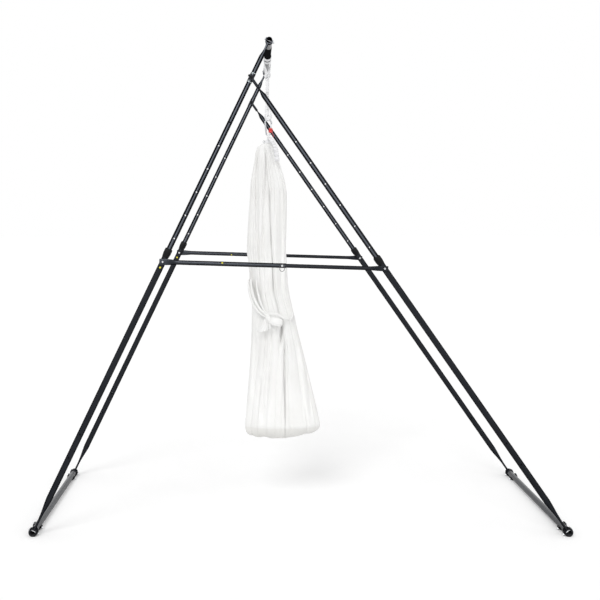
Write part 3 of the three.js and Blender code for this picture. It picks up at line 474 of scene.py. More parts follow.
def rounded_strip(width, thickness, corner_steps=3):
    """A flat strap's cross-section with round edges."""
    half, r = width / 2 - thickness / 2, thickness / 2
    ring = []
    for side, start in ((1, -pi / 2), (-1, pi / 2)):
        for i in range(corner_steps + 1):
            a = start + pi * i / corner_steps
            ring.append((side * half + r * cos(a), r * sin(a)))
    return ring


def angles(count):
    """Evenly spaced angles once round."""
    return [2 * pi * i / count for i in range(count)]


def oval(width, thickness, sides=16):
    """An oval cross-section."""
    return [(width / 2 * cos(a), thickness / 2 * sin(a)) for a in angles(sides)]


def smooth_path(points, steps):
    """A Catmull-Rom curve through points, with the given steps between each two."""
    pts = [Vector(p) for p in points]
    pts = [2 * pts[0] - pts[1], *pts, 2 * pts[-1] - pts[-2]]
    out = []
    for i in range(1, len(pts) - 2):
        a, b, c, d = pts[i - 1 : i + 3]
        for s in range(steps):
            t = s / steps
            out.append(
                0.5 * (2 * b + (c - a) * t + (2 * a - 5 * b + 4 * c - d) * t**2 + (3 * b - a - 3 * c + d) * t**3)
            )
    out.append(pts[-2])
    return out


def sweep(path, section, flat_side=(0, 1, 0), twist=None, size=None, closed=False):
    """Carries a cross-section along a path.

    flat_side is the way the section's second axis faces and twist(t) turns the section. size(t) scales it, by one
    share or by one for each axis.
    """
    count = len(path)
    points, along, run = [], [0.0], 0.0
    facing = Vector(flat_side)
    rim = [0.0]
    for (x, y), (nx, ny) in zip(section, section[1:] + section[:1]):
        rim.append(rim[-1] + hypot(nx - x, ny - y))
    for i, place in enumerate(path):
        before = path[i - 1] if i or closed else place
        after = path[(i + 1) % count] if i < count - 1 or closed else place
        ahead = (after - before).normalized()
        facing = (facing - ahead * facing.dot(ahead)).normalized()
        t = i / max(1, count - 1)
        turn = Matrix.Rotation(twist(t), 3, ahead) if twist else Matrix.Identity(3)
        second = turn @ facing
        first = ahead.cross(second)
        grow = size(t) if size else 1.0
        wide, thick = grow if hasattr(grow, "__len__") else (grow, grow)
        points.append([place + first * (x * wide) + second * (y * thick) for x, y in section])
        if i:
            run += (place - path[i - 1]).length
            along.append(run)
    if closed:
        points.append(points[0])
        along.append(run + (path[0] - path[-1]).length)
    verts, faces, uvs = grid(points, rim, along, around=True)
    if not closed:
        columns = len(section)
        for ring, order in ((0, -1), (count - 1, 1)):
            faces.append(tuple([ring * columns + c for c in range(columns)][::order]))
            uvs.append([(0.0, 0.0)] * columns)
    return verts, faces, uvs


def turned(profile, place, ahead, sides=32):
    """A shape turned on the line from place along ahead. profile is (radius, rise) pairs.

    A radius may also be a function of the angle.
    """
    aside = Vector((1, 0, 0)) if abs(ahead.y) > 0.9 else BACK
    first = ahead.cross(aside).normalized()
    second = ahead.cross(first)
    points = []
    for radius, rise in profile:
        ring = []
        for a in angles(sides):
            r = radius(a) if callable(radius) else radius
            ring.append(place + ahead * rise + first * (r * cos(a)) + second * (r * sin(a)))
        points.append(ring)
    across = [0.03 * i / sides for i in range(sides + 1)]
    along = [rise for _, rise in profile]
    verts, faces, uvs = grid(points, across, along, around=True)
    for ring, order in ((0, 1), (len(points) - 1, -1)):
        faces.append(tuple([ring * sides + c for c in range(sides)][::order]))
        uvs.append([(0.0, 0.0)] * sides)
    return verts, faces, uvs


def made(name, parts, slot_name, body, *nodes, finish=None):
    """A piece of grids in one of the record's finishes, or its own, which stands for the nodes given."""
    piece = mesh_piece(name, *joined(parts), finish or MATERIALS[slot_name], body)
    if nodes:
        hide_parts(*nodes)
    return piece


def mix(a, b, t):
    return a + (b - a) * t


def ease(t):
    """From 0 to 1 with soft ends, and flat beyond them."""
    t = min(1.0, max(0.0, t))
    return t * t * (3 - 2 * t)


def table(rows, column):
    """A smooth function of height through one column of a table whose rows go down from the top."""
    heights = np.array([row[0] for row in rows][::-1], float)
    values = np.array([row[column] for row in rows][::-1], float)
    slopes = np.gradient(values, heights)
    steps = np.diff(values) / np.diff(heights)
    for i, (before, after) in enumerate(zip(steps, steps[1:]), 1):
        if before * after <= 0:
            slopes[i] = 0

    def value(z):
        z = np.clip(z, heights[0], heights[-1])
        i = np.clip(np.searchsorted(heights, z) - 1, 0, len(heights) - 2)
        gap = heights[i + 1] - heights[i]
        t = (z - heights[i]) / gap
        start = (1 + 2 * t) * (1 - t) ** 2 * values[i] + t * (1 - t) ** 2 * gap * slopes[i]
        return start + t * t * (3 - 2 * t) * values[i + 1] + t * t * (t - 1) * gap * slopes[i + 1]

    return value


# ---- hammock

# Height, left edge, right edge, half depth and strength of the folds, down from the top
CLOTH_ROWS = [
    (2.354, -0.196, -0.160, 0.015, 0.2),
    (2.346, -0.199, -0.157, 0.016, 0.3),
    (2.334, -0.200, -0.156, 0.017, 0.3),
    (2.326, -0.228, -0.146, 0.032, 0.7),
    (2.310, -0.247, -0.140, 0.043, 0.9),
    (2.289, -0.257, -0.132, 0.047, 1.0),
    (2.224, -0.269, -0.108, 0.055, 1.0),
    (2.063, -0.296, -0.062, 0.066, 1.0),
    (2.000, -0.299, -0.054, 0.069, 1.0),
    (1.836, -0.310, -0.055, 0.074, 1.0),
    (1.642, -0.320, -0.058, 0.078, 1.0),
    (1.564, -0.311, -0.053, 0.078, 1.0),
    (1.383, -0.298, -0.040, 0.078, 1.0),
    (1.273, -0.287, -0.018, 0.078, 0.8),
    (1.189, -0.288, 0.002, 0.080, 0.6),
    (1.120, -0.289, 0.017, 0.083, 0.7),
    (1.060, -0.292, 0.033, 0.086, 0.9),
    (0.782, -0.313, 0.100, 0.099, 1.0),
    (0.523, -0.334, 0.160, 0.105, 1.0),
]
CLOTH_TOP, CLOTH_LOW = CLOTH_ROWS[0][0], CLOTH_ROWS[-1][0]

# Height, and the angle round the bundle at which the cloth's free edge lies
SELVAGE_ROWS = [
    (2.354, -1.60), (2.2, -1.60), (2.063, -1.518), (1.836, -1.418), (1.642, -1.31), (1.383, -1.35), (1.189, -1.24),
    (1.06, -1.211), (0.782, -1.39), (0.523, -1.499),
]

# Valleys seen on the front: how deep, how wide, and places (x, height) from the top down
VALLEYS = [
    (0.042, 0.017, [(-0.290, 1.52), (-0.272, 1.41), (-0.246, 1.30), (-0.218, 1.23)]),
    (
        0.016, 0.009,
        [
            (-0.247, 2.30), (-0.253, 2.10), (-0.254, 1.933), (-0.249, 1.733), (-0.241, 1.61), (-0.232, 1.45),
            (-0.229, 1.33),
        ],
    ),
    (
        0.014, 0.009,
        [(-0.188, 2.26), (-0.193, 2.095), (-0.200, 1.966), (-0.212, 1.81), (-0.216, 1.61), (-0.208, 1.40)],
    ),
    (0.012, 0.006, [(-0.168, 2.02), (-0.165, 1.901), (-0.161, 1.746), (-0.157, 1.66)]),
    (0.007, 0.006, [(-0.150, 1.60), (-0.144, 1.36)]),
    (0.012, 0.006, [(-0.1195, 2.22), (-0.0905, 2.10), (-0.067, 2.03)]),
    (0.012, 0.016, [(-0.096, 2.03), (-0.091, 1.707), (-0.096, 1.40)]),
    (0.015, 0.012, [(-0.193, 1.13), (-0.196, 0.931), (-0.206, 0.73), (-0.214, 0.53)]),
    (0.013, 0.010, [(-0.158, 1.13), (-0.167, 0.963), (-0.180, 0.76), (-0.186, 0.66)]),
    (0.045, 0.0065, [(-0.090, 1.20), (-0.093, 1.13), (-0.101, 1.03)]),
    (0.012, 0.013, [(-0.232, 0.82), (-0.2285, 0.57)]),
    (0.012, 0.022, [(0.000, 1.05), (0.0142, 0.92), (0.0466, 0.60)]),
    (0.016, 0.008, [(-0.074, 1.02), (-0.073, 0.80), (-0.070, 0.56)]),
    (0.013, 0.024, [(-0.262, 1.08), (-0.270, 0.85), (-0.276, 0.72)]),
    (0.014, 0.014, [(0.070, 0.86), (0.098, 0.58)]),
]
# Each turn of the cloth from the outside in: its size and its number of columns
CLOTH_TURNS = [(1.0, 230), (0.83, 100), (0.64, 80)]
UNDERLAP = 1.3  # the angle in which one turn passes under the one before
UPPER_ROWS, UNDER_ROWS = 190, 20
UNDER_DROP = 0.088  # how far the bottom hangs below the last row of the table
BROAD_FOLD, SHARP_FOLD, SMALL_FOLD = 0.006, 0.0065, 0.002
SHEET_WIDTH = 1.35


def wander(freedom, spread, count, seed):
    """A smooth random field of angle and height, made as a sum of waves."""
    rng = np.random.default_rng(seed)
    waves = [
        (rng.uniform(*freedom), rng.normal(0, spread), rng.uniform(0, 2 * pi), rng.uniform(0.6, 1.0))
        for _ in range(count)
    ]
    power = sqrt(sum(w[3] ** 2 for w in waves) / 2)

    def field(u, z):
        return sum(w[3] * np.cos(w[0] * u + w[1] * z + w[2]) for w in waves) / power

    return field


def hammock_cloth():
    """The cloth wound in turns, its free edge down the front. Folds are creases where slow fields cross zero."""
    left, right, depth, fold = (table(CLOTH_ROWS, c) for c in (1, 2, 3, 4))
    selvage = table(SELVAGE_ROWS, 1)
    broad = wander((4.0, 8.0), 1.1, 6, 11)
    crease = wander((7.0, 14.0), 1.5, 7, 23)
    small = wander((18.0, 30.0), 2.6, 7, 5)
    bottom_wave = wander((3.0, 9.0), 0.0, 5, 3)

    turns = [2 * pi * k + np.linspace(0, 2 * pi, n, endpoint=False) for k, (_, n) in enumerate(CLOTH_TURNS)]
    u = np.concatenate([*turns, [2 * pi * len(CLOTH_TURNS)]])
    turn = np.clip((u / (2 * pi)).astype(int), 0, len(CLOTH_TURNS) - 1)
    part = u - 2 * pi * turn
    scale = np.array([s for s, _ in CLOTH_TURNS])
    before = scale[np.maximum(turn - 1, 0)] - 0.035
    settle = np.where(turn == 0, 1.0, 0.5 - 0.5 * np.cos(np.clip(part / UNDERLAP, 0, 1) * pi))
    size = before + (scale[turn] - before) * settle
    size = size + np.where(turn == 0, 0.02 * np.exp(-part / 0.12), 0)

    heights = CLOTH_TOP + (CLOTH_LOW - CLOTH_TOP) * np.linspace(0, 1, UPPER_ROWS) ** 1.06
    rows = [(z, 1.0, 1.0, 0.0) for z in heights]
    for i in range(1, UNDER_ROWS + 1):
        t = i / UNDER_ROWS
        rows.append((CLOTH_LOW, 1 - 0.17 * t**3, (1 - t**1.25) ** 0.62 + 0.02, t))

    lines = [(d, w, table([(z, x) for x, z in pts], 1), pts[0][1], pts[-1][1]) for d, w, pts in VALLEYS]
    points = []
    for z, wide_share, deep_share, under in rows:
        a, b = (right(z) - left(z)) / 2, depth(z)
        middle = (right(z) + left(z)) / 2
        weight = 0.5 + 0.5 * np.cos(part)
        angle = selvage(z) * weight - 1.0 * (1 - weight) + part
        strength = fold(z) * min(1.0, a / 0.09)
        ridge = broad(u, z)
        sharp = np.clip(1 - np.abs(crease(u, z)) * 1.5, 0, 1) ** 2
        tiny = np.clip(1 - np.abs(small(u, z)) * 1.3, 0, 1) ** 2
        inward = strength * (BROAD_FOLD * (1.4 - ridge) / 2 + SHARP_FOLD * sharp + SMALL_FOLD * tiny)
        inward = inward * np.where(turn == 0, 1.0, 0.8)
        wide = (a * size - inward) * wide_share
        deep = (b * size - inward * 1.1) * deep_share
        x = middle + wide * np.cos(angle)
        y = deep * np.sin(angle)
        front = np.clip(-np.sin(angle) * 1.6, 0, 1) * deep_share
        for valley_depth, valley_width, line, top, low in lines:
            reach = ease((top + 0.03 - z) / 0.07) * ease((z - low + 0.05) / 0.12)
            if reach > 0:
                off = np.abs(x - line(z)) / valley_width
                y = y + front * reach * valley_depth * 1.15 * np.exp(-(off**1.35))
        sag = UNDER_DROP * (1 - (1 - under) ** 1.5) * (1.0 - 0.32 * np.clip((x - middle) / a, 0, 1) ** 1.5)
        sag = sag * (0.80 + 0.2 * np.clip(1 - np.abs((x - middle + 0.02) / a), 0, 1))
        lift = np.where(under > 0, 0.003 * under * bottom_wave(u, 0), 0.0)
        drop = z - sag * 1.15 + lift
        points.append(list(zip(x, y, drop)))
    across = list(u / u[-1] * SHEET_WIDTH)
    along = [0.0]
    for before, after in zip(points, points[1:]):
        step = np.array(after[0]) - np.array(before[0])
        along.append(along[-1] + max(0.002, float(np.linalg.norm(step))))
    return made("hammock_silk", [grid(points, across, along)], "cloth", "hammock", "hammock")


# ---- sling and carabiner

# Heights of the hook's two bends, their radii, and the radius of its rod
CARABINER_TOP, CARABINER_LOW = 2.464, 2.398
TOP_BEND, LOW_BEND, ROD = 0.0205, 0.013, 0.0055
EYE_RADIUS = ROD + 0.0021
THREAD_ROUND = oval(0.0009, 0.0009, 6)
TACK_GAP = 0.0016


def bulging(top, low, bulge, steps=10):
    """Points of a strand that bulges out between its ends, most near low. bulge is a vector."""
    points = []
    for i in range(steps + 1):
        t = i / steps
        points.append(top.lerp(low, t) + bulge * (abs(sin(pi * t)) ** 0.75 * (0.6 + 0.8 * t)))
    return points


def stitches(name, places, width, facing, body):
    """Bar tacks: close rows of thread across a strap, at each place and its direction along the strap."""
    rows = []
    for place, ahead in places:
        across = ahead.cross(facing).normalized() * (width / 2)
        for k in (-1.5, -0.5, 0.5, 1.5):
            middle = place + ahead * (TACK_GAP * k)
            rows.append(sweep([middle - across, middle + across], THREAD_ROUND, facing))
    made(name, rows, "webbing", body, finish=THREAD)


def bar_at(x, y, z):
    """A place beside the top bar's axis; z is a height."""
    return Vector((BAR_X + x, y, z))


def make_sling_loop():
    """The webbing on the bar's sleeve, the loop that hangs from it and its knot."""
    at = bar_at
    hold = SLEEVE_RADIUS + 0.0018
    strap = rounded_strip(0.026, 0.0024, 4)
    over = [at(hold * cos(a), 0, BAR_Z + hold * sin(a)) for a in np.linspace(pi + 0.25, -0.25, 26)]
    left = [
        at(0.001, 0.003, KNOT_Z - 0.004), at(-0.006, 0.004, KNOT_Z + 0.022),
        at(-0.0155, 0.003, KNOT_Z + 0.058), at(-0.0232, 0, BAR_Z - 0.022),
    ]
    right = [
        at(0.0232, 0, BAR_Z - 0.022), at(0.0165, -0.003, KNOT_Z + 0.058),
        at(0.008, -0.004, KNOT_Z + 0.022), at(-0.001, -0.003, KNOT_Z - 0.004),
    ]
    path = smooth_path(left, 9)[:-1] + over + smooth_path(right, 9)[1:]
    turn = lambda t: 1.15 * (1 - ease(t / 0.36)) - 1.15 * ease((t - 0.64) / 0.36)
    made("sling_loop", [sweep(path, strap, (-1, 0, 0.2), twist=turn)], "webbing", "sling", "sling")
    wraps = []
    for y in (-0.0725, -0.049, -0.0255, 0.0255, 0.049, 0.0725):
        ring = [at(hold * cos(a), y, BAR_Z + hold * sin(a)) for a in angles(48)]
        wraps.append(sweep(ring, rounded_strip(0.0225, 0.0024, 4), (1, 0, 0), closed=True))
    made("sling_wraps", wraps, "webbing", "sling")

    spin = []
    for t in angles(64):
        x, z = 0.0054 * (sin(t) + 2 * sin(2 * t)), 0.00738 * (cos(t) - 2 * cos(2 * t))
        spin.append(at(x, 0.0095 * sin(3 * t), KNOT_Z + z))
    made("sling_knot", [sweep(spin, rounded_strip(0.0145, 0.0042, 4), closed=True)], "webbing", "sling")


def make_sling_strap():
    """The doubled strap, its bulging daisy strands, their stitches and the eye on the carabiner."""
    at = bar_at
    band = rounded_strip(0.021, 0.0019, 3)
    two = []
    for side in (-1, 1):
        line = [
            at(0, side * 0.0012, KNOT_Z - 0.006), at(0.0012 * side, side * 0.0022, KNOT_Z - 0.05),
            at(-0.0008, side * 0.0013, DAISY_TOP_Z + 0.012), at(0, side * 0.0011, DAISY_TOP_Z - 0.006),
        ]
        two.append(sweep(smooth_path(line, 10), band))
    top, low = at(0.001, 0.0, DAISY_TOP_Z - 0.004), Vector((HOOK_X - 0.001, 0.0, ROD_Z + 0.024))
    slim = rounded_strip(0.0105, 0.0019, 3)
    two.append(sweep(bulging(top, low, Vector((0.001, 0.0022, 0))), slim))
    middle = (top + low) / 2
    for side, out in ((-1, 0.0165), (1, 0.0175)):
        reach = out * side
        legs = [
            top + Vector((0.002 * side, -0.002, 0)),
            middle + Vector((0.62 * reach, -0.004, 0)),
            low + Vector((reach, -0.006, 0.006)),
            low + Vector((1.02 * reach, -0.005, -0.010)),
            low + Vector((0.72 * reach, 0.0, -0.0235)),
        ]
        line = smooth_path(legs, 12)
        waves = [abs(sin(pi * 5 * i / len(line))) for i in range(len(line))]
        beads = [p + Vector((0.0028 * side * wave, -0.0012 * wave, 0)) for p, wave in zip(line, waves)]
        two.append(sweep(line, slim, (0.35 * side, -0.94, 0)))
        two.append(sweep(beads, slim, (0.35 * side, -0.94, 0)))
    made("sling_strap", two, "webbing", "sling")
    seams = [(top.lerp(low, i / 3) + Vector((0, -0.0032, 0)), (low - top).normalized()) for i in range(4)]
    seams += [
        (at(0, -0.0036, DAISY_TOP_Z + 0.012), Vector((0, 0, -1))),
        (at(0, -0.0036, DAISY_TOP_Z + 0.022), Vector((0, 0, -1))),
    ]
    stitches("sling_stitches", seams, 0.018, FRONT, "sling")

    rod = lambda x, y, z: Vector((HOOK_X + x, y, ROD_Z + z))
    eye = [rod(0, EYE_RADIUS * cos(a), EYE_RADIUS * sin(a)) for a in np.linspace(pi, 2 * pi, 14)]
    path = [
        rod(-0.001, -0.0012, 0.026), rod(0, -0.0045, 0.013), *eye, rod(0, 0.0045, 0.013), rod(-0.001, 0.0012, 0.026),
    ]
    made("sling_eye", [sweep(path, rounded_strip(0.015, 0.0022, 3))], "webbing", "sling")


def make_carabiner():
    """The hook, its gate, the gate's locking sleeve and the sleeve's pull."""
    drop = np.arcsin((TOP_BEND - LOW_BEND) / (CARABINER_TOP - CARABINER_LOW))
    hinge = Vector((HOOK_X + LOW_BEND * cos(drop), 0, CARABINER_LOW - LOW_BEND * sin(drop)))
    ahead = Vector((sin(drop), 0, cos(drop)))
    on_gate = lambda rise: hinge + ahead * rise
    length = (CARABINER_TOP - CARABINER_LOW) * cos(drop)
    back = pi + drop
    arc = lambda z, r, a, b, n: [Vector((HOOK_X + r * cos(t), 0, z + r * sin(t))) for t in np.linspace(a, b, n)]
    upper = arc(CARABINER_TOP, TOP_BEND, -drop, back, 30)
    lower = arc(CARABINER_LOW, LOW_BEND, back, 2 * pi - drop, 22)
    spine = [upper[-1].lerp(lower[0], t) for t in (0.25, 0.5, 0.75)]
    path = [on_gate(length - 0.007), *upper, *spine, *lower, on_gate(0.0044)]
    slim = lambda t: 0.86 + 0.14 * ease(t / 0.06) * ease((1 - t) / 0.04)
    rod = sweep(path, oval(2 * ROD, 2 * ROD, 24), size=slim)
    body = made("carabiner_frame", [rod], "steel", "carabiner", "carabiner_body")
    body.modifiers.new("soft_edges", "BEVEL").width = 0.0004

    gate_low, gate_high = 0.0102, length - 0.0075
    r = 0.0046
    profile = [
        (0.001, gate_low - 0.0046), (0.0032, gate_low - 0.0040), (r, gate_low - 0.002), (r, gate_low),
        (r, gate_high - 0.001), (r - 0.0008, gate_high),
    ]
    ends = [(0.0013, -0.0058), (0.0019, -0.0052), (0.0019, 0.0052), (0.0013, 0.0058)]
    pin = turned(ends, on_gate(gate_low - 0.001), BACK, 16)
    made("carabiner_gate_bar", [turned(profile, on_gate(0), ahead), pin], "steel", "gate", "carabiner_gate")

    ribs = lambda a: 0.0126 + 0.0006 * (0.5 + 0.5 * cos(20 * a)) ** 0.5
    low, waist, high = 0.0042, 0.0185, 0.0335
    bore, cup = 0.0053, 0.0086
    outline = [
        (bore, low + 0.007), (cup, low + 0.006), (cup, low), (0.0112, low), (0.0122, low + 0.001),
        (ribs, low + 0.0018), (ribs, waist - 0.002), (0.0114, waist - 0.0008), (0.0114, waist + 0.0008),
        (ribs, waist + 0.002), (ribs, high - 0.0035), (0.0120, high - 0.002), (0.0098, high), (bore, high),
        (bore, low + 0.007),
    ]
    verts, faces, uvs = turned(outline, on_gate(0), ahead, 80)
    made("gate_sleeve_red", [(verts, faces[:-2], uvs[:-2])], "red_alloy", "gate_sleeve", "gate_sleeve")
    hang = (
        (0.0108, -0.003, 0.004), (0.0128, -0.004, -0.001), (0.0150, -0.005, -0.010),
        (0.0195, -0.006, -0.019), (0.0215, -0.006, -0.029),
    )
    pull = sweep(
        smooth_path([on_gate(low) + Vector(p) for p in hang], 6), rounded_strip(0.0062, 0.0013, 3), (0.9, -0.4, 0.3),
    )
    made("gate_sleeve_pull", [pull], "red_alloy", "gate_sleeve", finish=RED_TAPE)


# ---- choker

def make_choker():
    """The webbing round the hammock's neck, its eye on the carabiner, its loose tail and a small ring."""
    at = lambda x, y, z: Vector((HOOK_X + x, y, NECK_Z + z))
    grip = rounded_strip(0.019, 0.0026, 4)
    wavy = lambda a: 0.0015 * sin(3 * a) + 0.0012 * sin(a)
    round_neck = [at(0.0245 * cos(a), 0.0195 * sin(a), wavy(a)) for a in angles(60)]
    parts = [sweep(round_neck, grip, (1, 0, 0), closed=True)]
    lap = [at(0.0268 * cos(a), 0.0218 * sin(a), 0.002) for a in np.linspace(-2.4, -0.5, 22)]
    parts.append(sweep(lap, grip, (-1, 0, 0)))
    low_rod = CARABINER_LOW - LOW_BEND
    eye = [Vector((HOOK_X, EYE_RADIUS * cos(a), low_rod + EYE_RADIUS * sin(a))) for a in np.linspace(0, pi, 14)]
    front = smooth_path([at(0.002, 0.0185, -0.004), at(0.001, 0.0165, 0.012), at(0, 0.0095, 0.034)], 6)
    rear = [Vector((2 * HOOK_X - p.x, -p.y, p.z)) for p in front[::-1]]
    wide = lambda t: (mix(2.5, 1.0, ease(3.2 * min(t, 1 - t))), 1)
    parts.append(sweep(front[:-1] + eye + rear[1:], rounded_strip(0.015, 0.0024, 4), size=wide))
    made("choker_band", parts, "webbing", "hammock", "hammock_choker")

    places = [
        (-0.1735, -0.026, 2.366), (-0.160, -0.042, 2.348), (-0.144, -0.053, 2.322),
        (-0.133, -0.060, 2.290), (-0.1275, -0.0645, 2.252), (-0.1235, -0.0675, 2.212),
    ]
    spine = smooth_path(places, 12)
    strap = rounded_strip(0.030, 0.0019, 3)
    tail = [sweep(spine, strap, (0.45, -0.9, 0))]
    loops = 7
    bulged = []
    for i, place in enumerate(spine):
        t = i / (len(spine) - 1)
        out = abs(sin(pi * t * loops)) ** 0.7
        bulged.append(place + Vector((0.4, -0.85, 0.1)).normalized() * (0.0022 + 0.006 * out))
    tail.append(sweep(bulged, strap, (0.45, -0.9, 0)))
    made("choker_tail", tail, "webbing", "hammock")
    seams = []
    for k in range(loops + 1):
        i = min(len(spine) - 2, round(k * (len(spine) - 1) / loops))
        seams.append((spine[i] + Vector((0.0016, -0.0036, 0.001)), (spine[i + 1] - spine[i]).normalized()))
    stitches("choker_stitches", seams, 0.026, Vector((0.45, -0.9, 0)), "hammock")
    ring_path = [at(-0.0285 + 0.0062 * cos(a), -0.012, 0.003 + 0.0072 * sin(a)) for a in angles(28)]
    made("choker_ring", [sweep(ring_path, oval(0.003, 0.003, 12), closed=True)], "steel", "hammock")


# ---- tie

PLEAT_DEPTH = 0.22


def gathered(width, thickness, folds, seed):
    """A cross-section of cloth gathered into a rope: an oval with pleats."""
    shift = np.random.default_rng(seed).uniform(0, 2 * pi)
    ring = []
    for a in angles(40):
        pleat = 1 - PLEAT_DEPTH * (1 - abs(sin(folds * a / 2 + shift + 0.5 * sin(a)))) ** 2
        ring.append((width / 2 * pleat * cos(a), thickness / 2 * pleat * sin(a)))
    return ring


def make_tie():
    """The cloth tied round the hammock's waist: strands, band, knot and loose ends."""
    pieces = []

    def rope(name, points, width, thickness, folds, twist, facing, seed, steps=10, size=None, nodes=()):
        path = smooth_path(points, steps)
        part = sweep(path, gathered(width, thickness, folds, seed), facing, twist=lambda t: twist * t, size=size)
        pieces.append(made(name, [part], "cloth", "hammock", *nodes))

    outer = [
        (-0.3055, 0.0, 1.4446), (-0.3035, -0.02, 1.4009), (-0.295, -0.045, 1.3515), (-0.277, -0.071, 1.2994),
        (-0.2464, -0.093, 1.2536), (-0.2038, -0.106, 1.2213), (-0.172, -0.110, 1.2142),
    ]
    inner = [
        (-0.2906, -0.012, 1.4519), (-0.288, -0.038, 1.4086), (-0.2783, -0.064, 1.3593), (-0.2591, -0.087, 1.3102),
        (-0.2312, -0.103, 1.2653), (-0.1943, -0.112, 1.2346), (-0.168, -0.113, 1.224),
    ]
    third = [
        (-0.2539, -0.058, 1.450), (-0.2514, -0.070, 1.398), (-0.2412, -0.084, 1.3482), (-0.2247, -0.097, 1.2985),
        (-0.2038, -0.107, 1.2581), (-0.1753, -0.114, 1.2304),
    ]
    grow = lambda t: 0.8 + 0.3 * sin(pi * min(1.0, t * 1.15))
    rope("tie_strand_a", outer, 0.0175, 0.016, 5, 2.6, (0, -1, 0.2), 1, size=grow, nodes=("hammock_tie",))
    rope("tie_strand_b", inner, 0.0165, 0.015, 5, 2.2, (0, -1, 0.2), 2, size=grow)
    rope("tie_strand_c", third, 0.0125, 0.012, 4, 1.5, (0, -1, 0.2), 3, size=grow)
    rear = [
        (-0.186, -0.110, 1.232), (-0.160, -0.119, 1.239), (-0.1247, -0.118, 1.2366), (-0.1056, -0.115, 1.2265),
        (-0.0866, -0.109, 1.2138), (-0.0648, -0.098, 1.205), (-0.036, -0.070, 1.206), (-0.018, -0.024, 1.219),
        (-0.022, 0.026, 1.228), (-0.070, 0.070, 1.243), (-0.145, 0.088, 1.275), (-0.220, 0.080, 1.332),
        (-0.277, 0.052, 1.400), (-0.3055, 0.0, 1.4446),
    ]
    rope(
        "tie_band", rear, 0.018, 0.012, 4, 0.25, (0, -1, 0), 4,
        size=lambda t: 0.8 + 0.25 * sin(pi * min(1.0, 1.4 * t)),
    )
    tuck = [(-0.040, -0.086, 1.190), (-0.031, -0.080, 1.204), (-0.024, -0.066, 1.219), (-0.022, -0.050, 1.230)]
    rope("tie_tuck", tuck, 0.016, 0.010, 5, 0.6, (1, -0.6, 0), 5, size=lambda t: 0.7 + 0.4 * sin(pi * t))

    wrap = [
        (-0.192, -0.104, 1.238), (-0.187, -0.124, 1.228), (-0.180, -0.132, 1.210), (-0.174, -0.128, 1.190),
        (-0.172, -0.108, 1.176),
    ]
    rope("tie_wrap", wrap, 0.028, 0.014, 5, 0.3, (0, -1, 0), 6, size=lambda t: 0.85 + 0.2 * sin(pi * t))
    lobe = [
        (-0.178, -0.118, 1.206), (-0.162, -0.125, 1.200), (-0.142, -0.128, 1.193), (-0.120, -0.125, 1.187),
        (-0.101, -0.118, 1.181), (-0.092, -0.108, 1.178),
    ]
    swell = lambda t: (0.42 + 0.63 * ease(t / 0.38) - 0.25 * ease((t - 0.7) / 0.3), 0.7 + 0.5 * sin(pi * t))
    rope("tie_lobe", lobe, 0.050, 0.013, 5, 0.2, (0, -1, 0.35), 7, steps=14, size=swell)
    tail = [(-0.180, -0.120, 1.216), (-0.176, -0.124, 1.190), (-0.171, -0.120, 1.166), (-0.168, -0.114, 1.143)]
    rope("tie_tail", tail, 0.014, 0.006, 3, 0.2, (0, -1, 0), 8, size=lambda t: 0.75 + 0.35 * t)

    rows, columns = 26, 34
    top = Vector((-0.193, -0.115, 1.212))
    points = []
    for r in range(rows):
        v = r / (rows - 1)
        line = []
        for c in range(columns):
            h = c / (columns - 1) - 0.5
            spread = mix(0.018, 0.066, v**0.7)
            x = top.x - 0.022 * v + h * spread
            z = top.z - 0.086 * v + 0.012 * v * h - 0.008 * sin(pi * v) * (0.5 - h)
            fold = 0.0034 * ease(v * 2) * cos(2 * pi * 2.4 * h + 0.8) + 0.0012 * v * cos(2 * pi * 6 * h)
            line.append(Vector((x, top.y + 0.004 * v + fold + 0.03 * v * max(0, -h), z)))
        points.append(line)
    across = [0.08 * c / (columns - 1) for c in range(columns)]
    along = [0.1 * r / (rows - 1) for r in range(rows)]
    flap = made("tie_end", [grid(points, across, along)], "cloth", "hammock")
    flap.modifiers.new("thickness", "SOLIDIFY").thickness = 0.0022
    hem_path = [p + Vector((0, -0.001, 0.002)) for p in points[-1]]
    hem = made("tie_end_hem", [sweep(hem_path, oval(0.0085, 0.006, 10), (0, -1, 0))], "cloth", "hammock")
    return [*pieces, flap, hem]


# ---- stickers

STICKER_RADIUS, STICKER_SIDES = 0.0055, 32


def make_sticker(name, body, along, ahead, plane, radius, lean):
    """A round sticker on a tube, along from the left clamp, with its middle turned up off the front by lean."""
    axis = Vector((LEFT_CLAMP[0], plane, LEFT_CLAMP[1])) + ahead * along
    side = FRONT.cross(ahead)
    if side.z < 0:
        side = -side
    rings = [(STICKER_RADIUS, -0.0003), (STICKER_RADIUS, 0.0002)]
    rings += [(STICKER_RADIUS * share, 0.0003) for share in (0.9, 0.6, 0.3, 0.02)]
    points = []
    for reach, rise in rings:
        ring = []
        for a in angles(STICKER_SIDES):
            turn = lean + reach * sin(a) / radius
            out = FRONT * cos(turn) + side * sin(turn)
            ring.append(axis + ahead * (reach * cos(a)) + out * (radius + rise))
        points.append(ring)
    across = [i / STICKER_SIDES for i in range(STICKER_SIDES + 1)]
    verts, faces, uvs = grid(points, across, [reach for reach, _ in rings], around=True)
    last = len(verts) - 1
    faces += [tuple(range(STICKER_SIDES)), tuple(range(last, last - STICKER_SIDES, -1))]
    uvs += [[(0.0, 0.0)] * STICKER_SIDES] * 2
    mesh_piece(name, verts, faces, uvs, STICKER, body)


# ---- plugs and pivot fittings

# Runs go up the left leg from its clamp hole, and the grip's ends are measured from the bar's middle
PIVOT_RUN, TOP_HOLE_RUN = 1.18905, 0.9
GRIP_START, GRIP_END, GRIP_RADIUS = 0.0855, 0.386, 0.0204
TUBE_FACE, SLEEVE_FACE = 0.014, 0.0156
HOLE_PLUG_RADIUS = 0.005


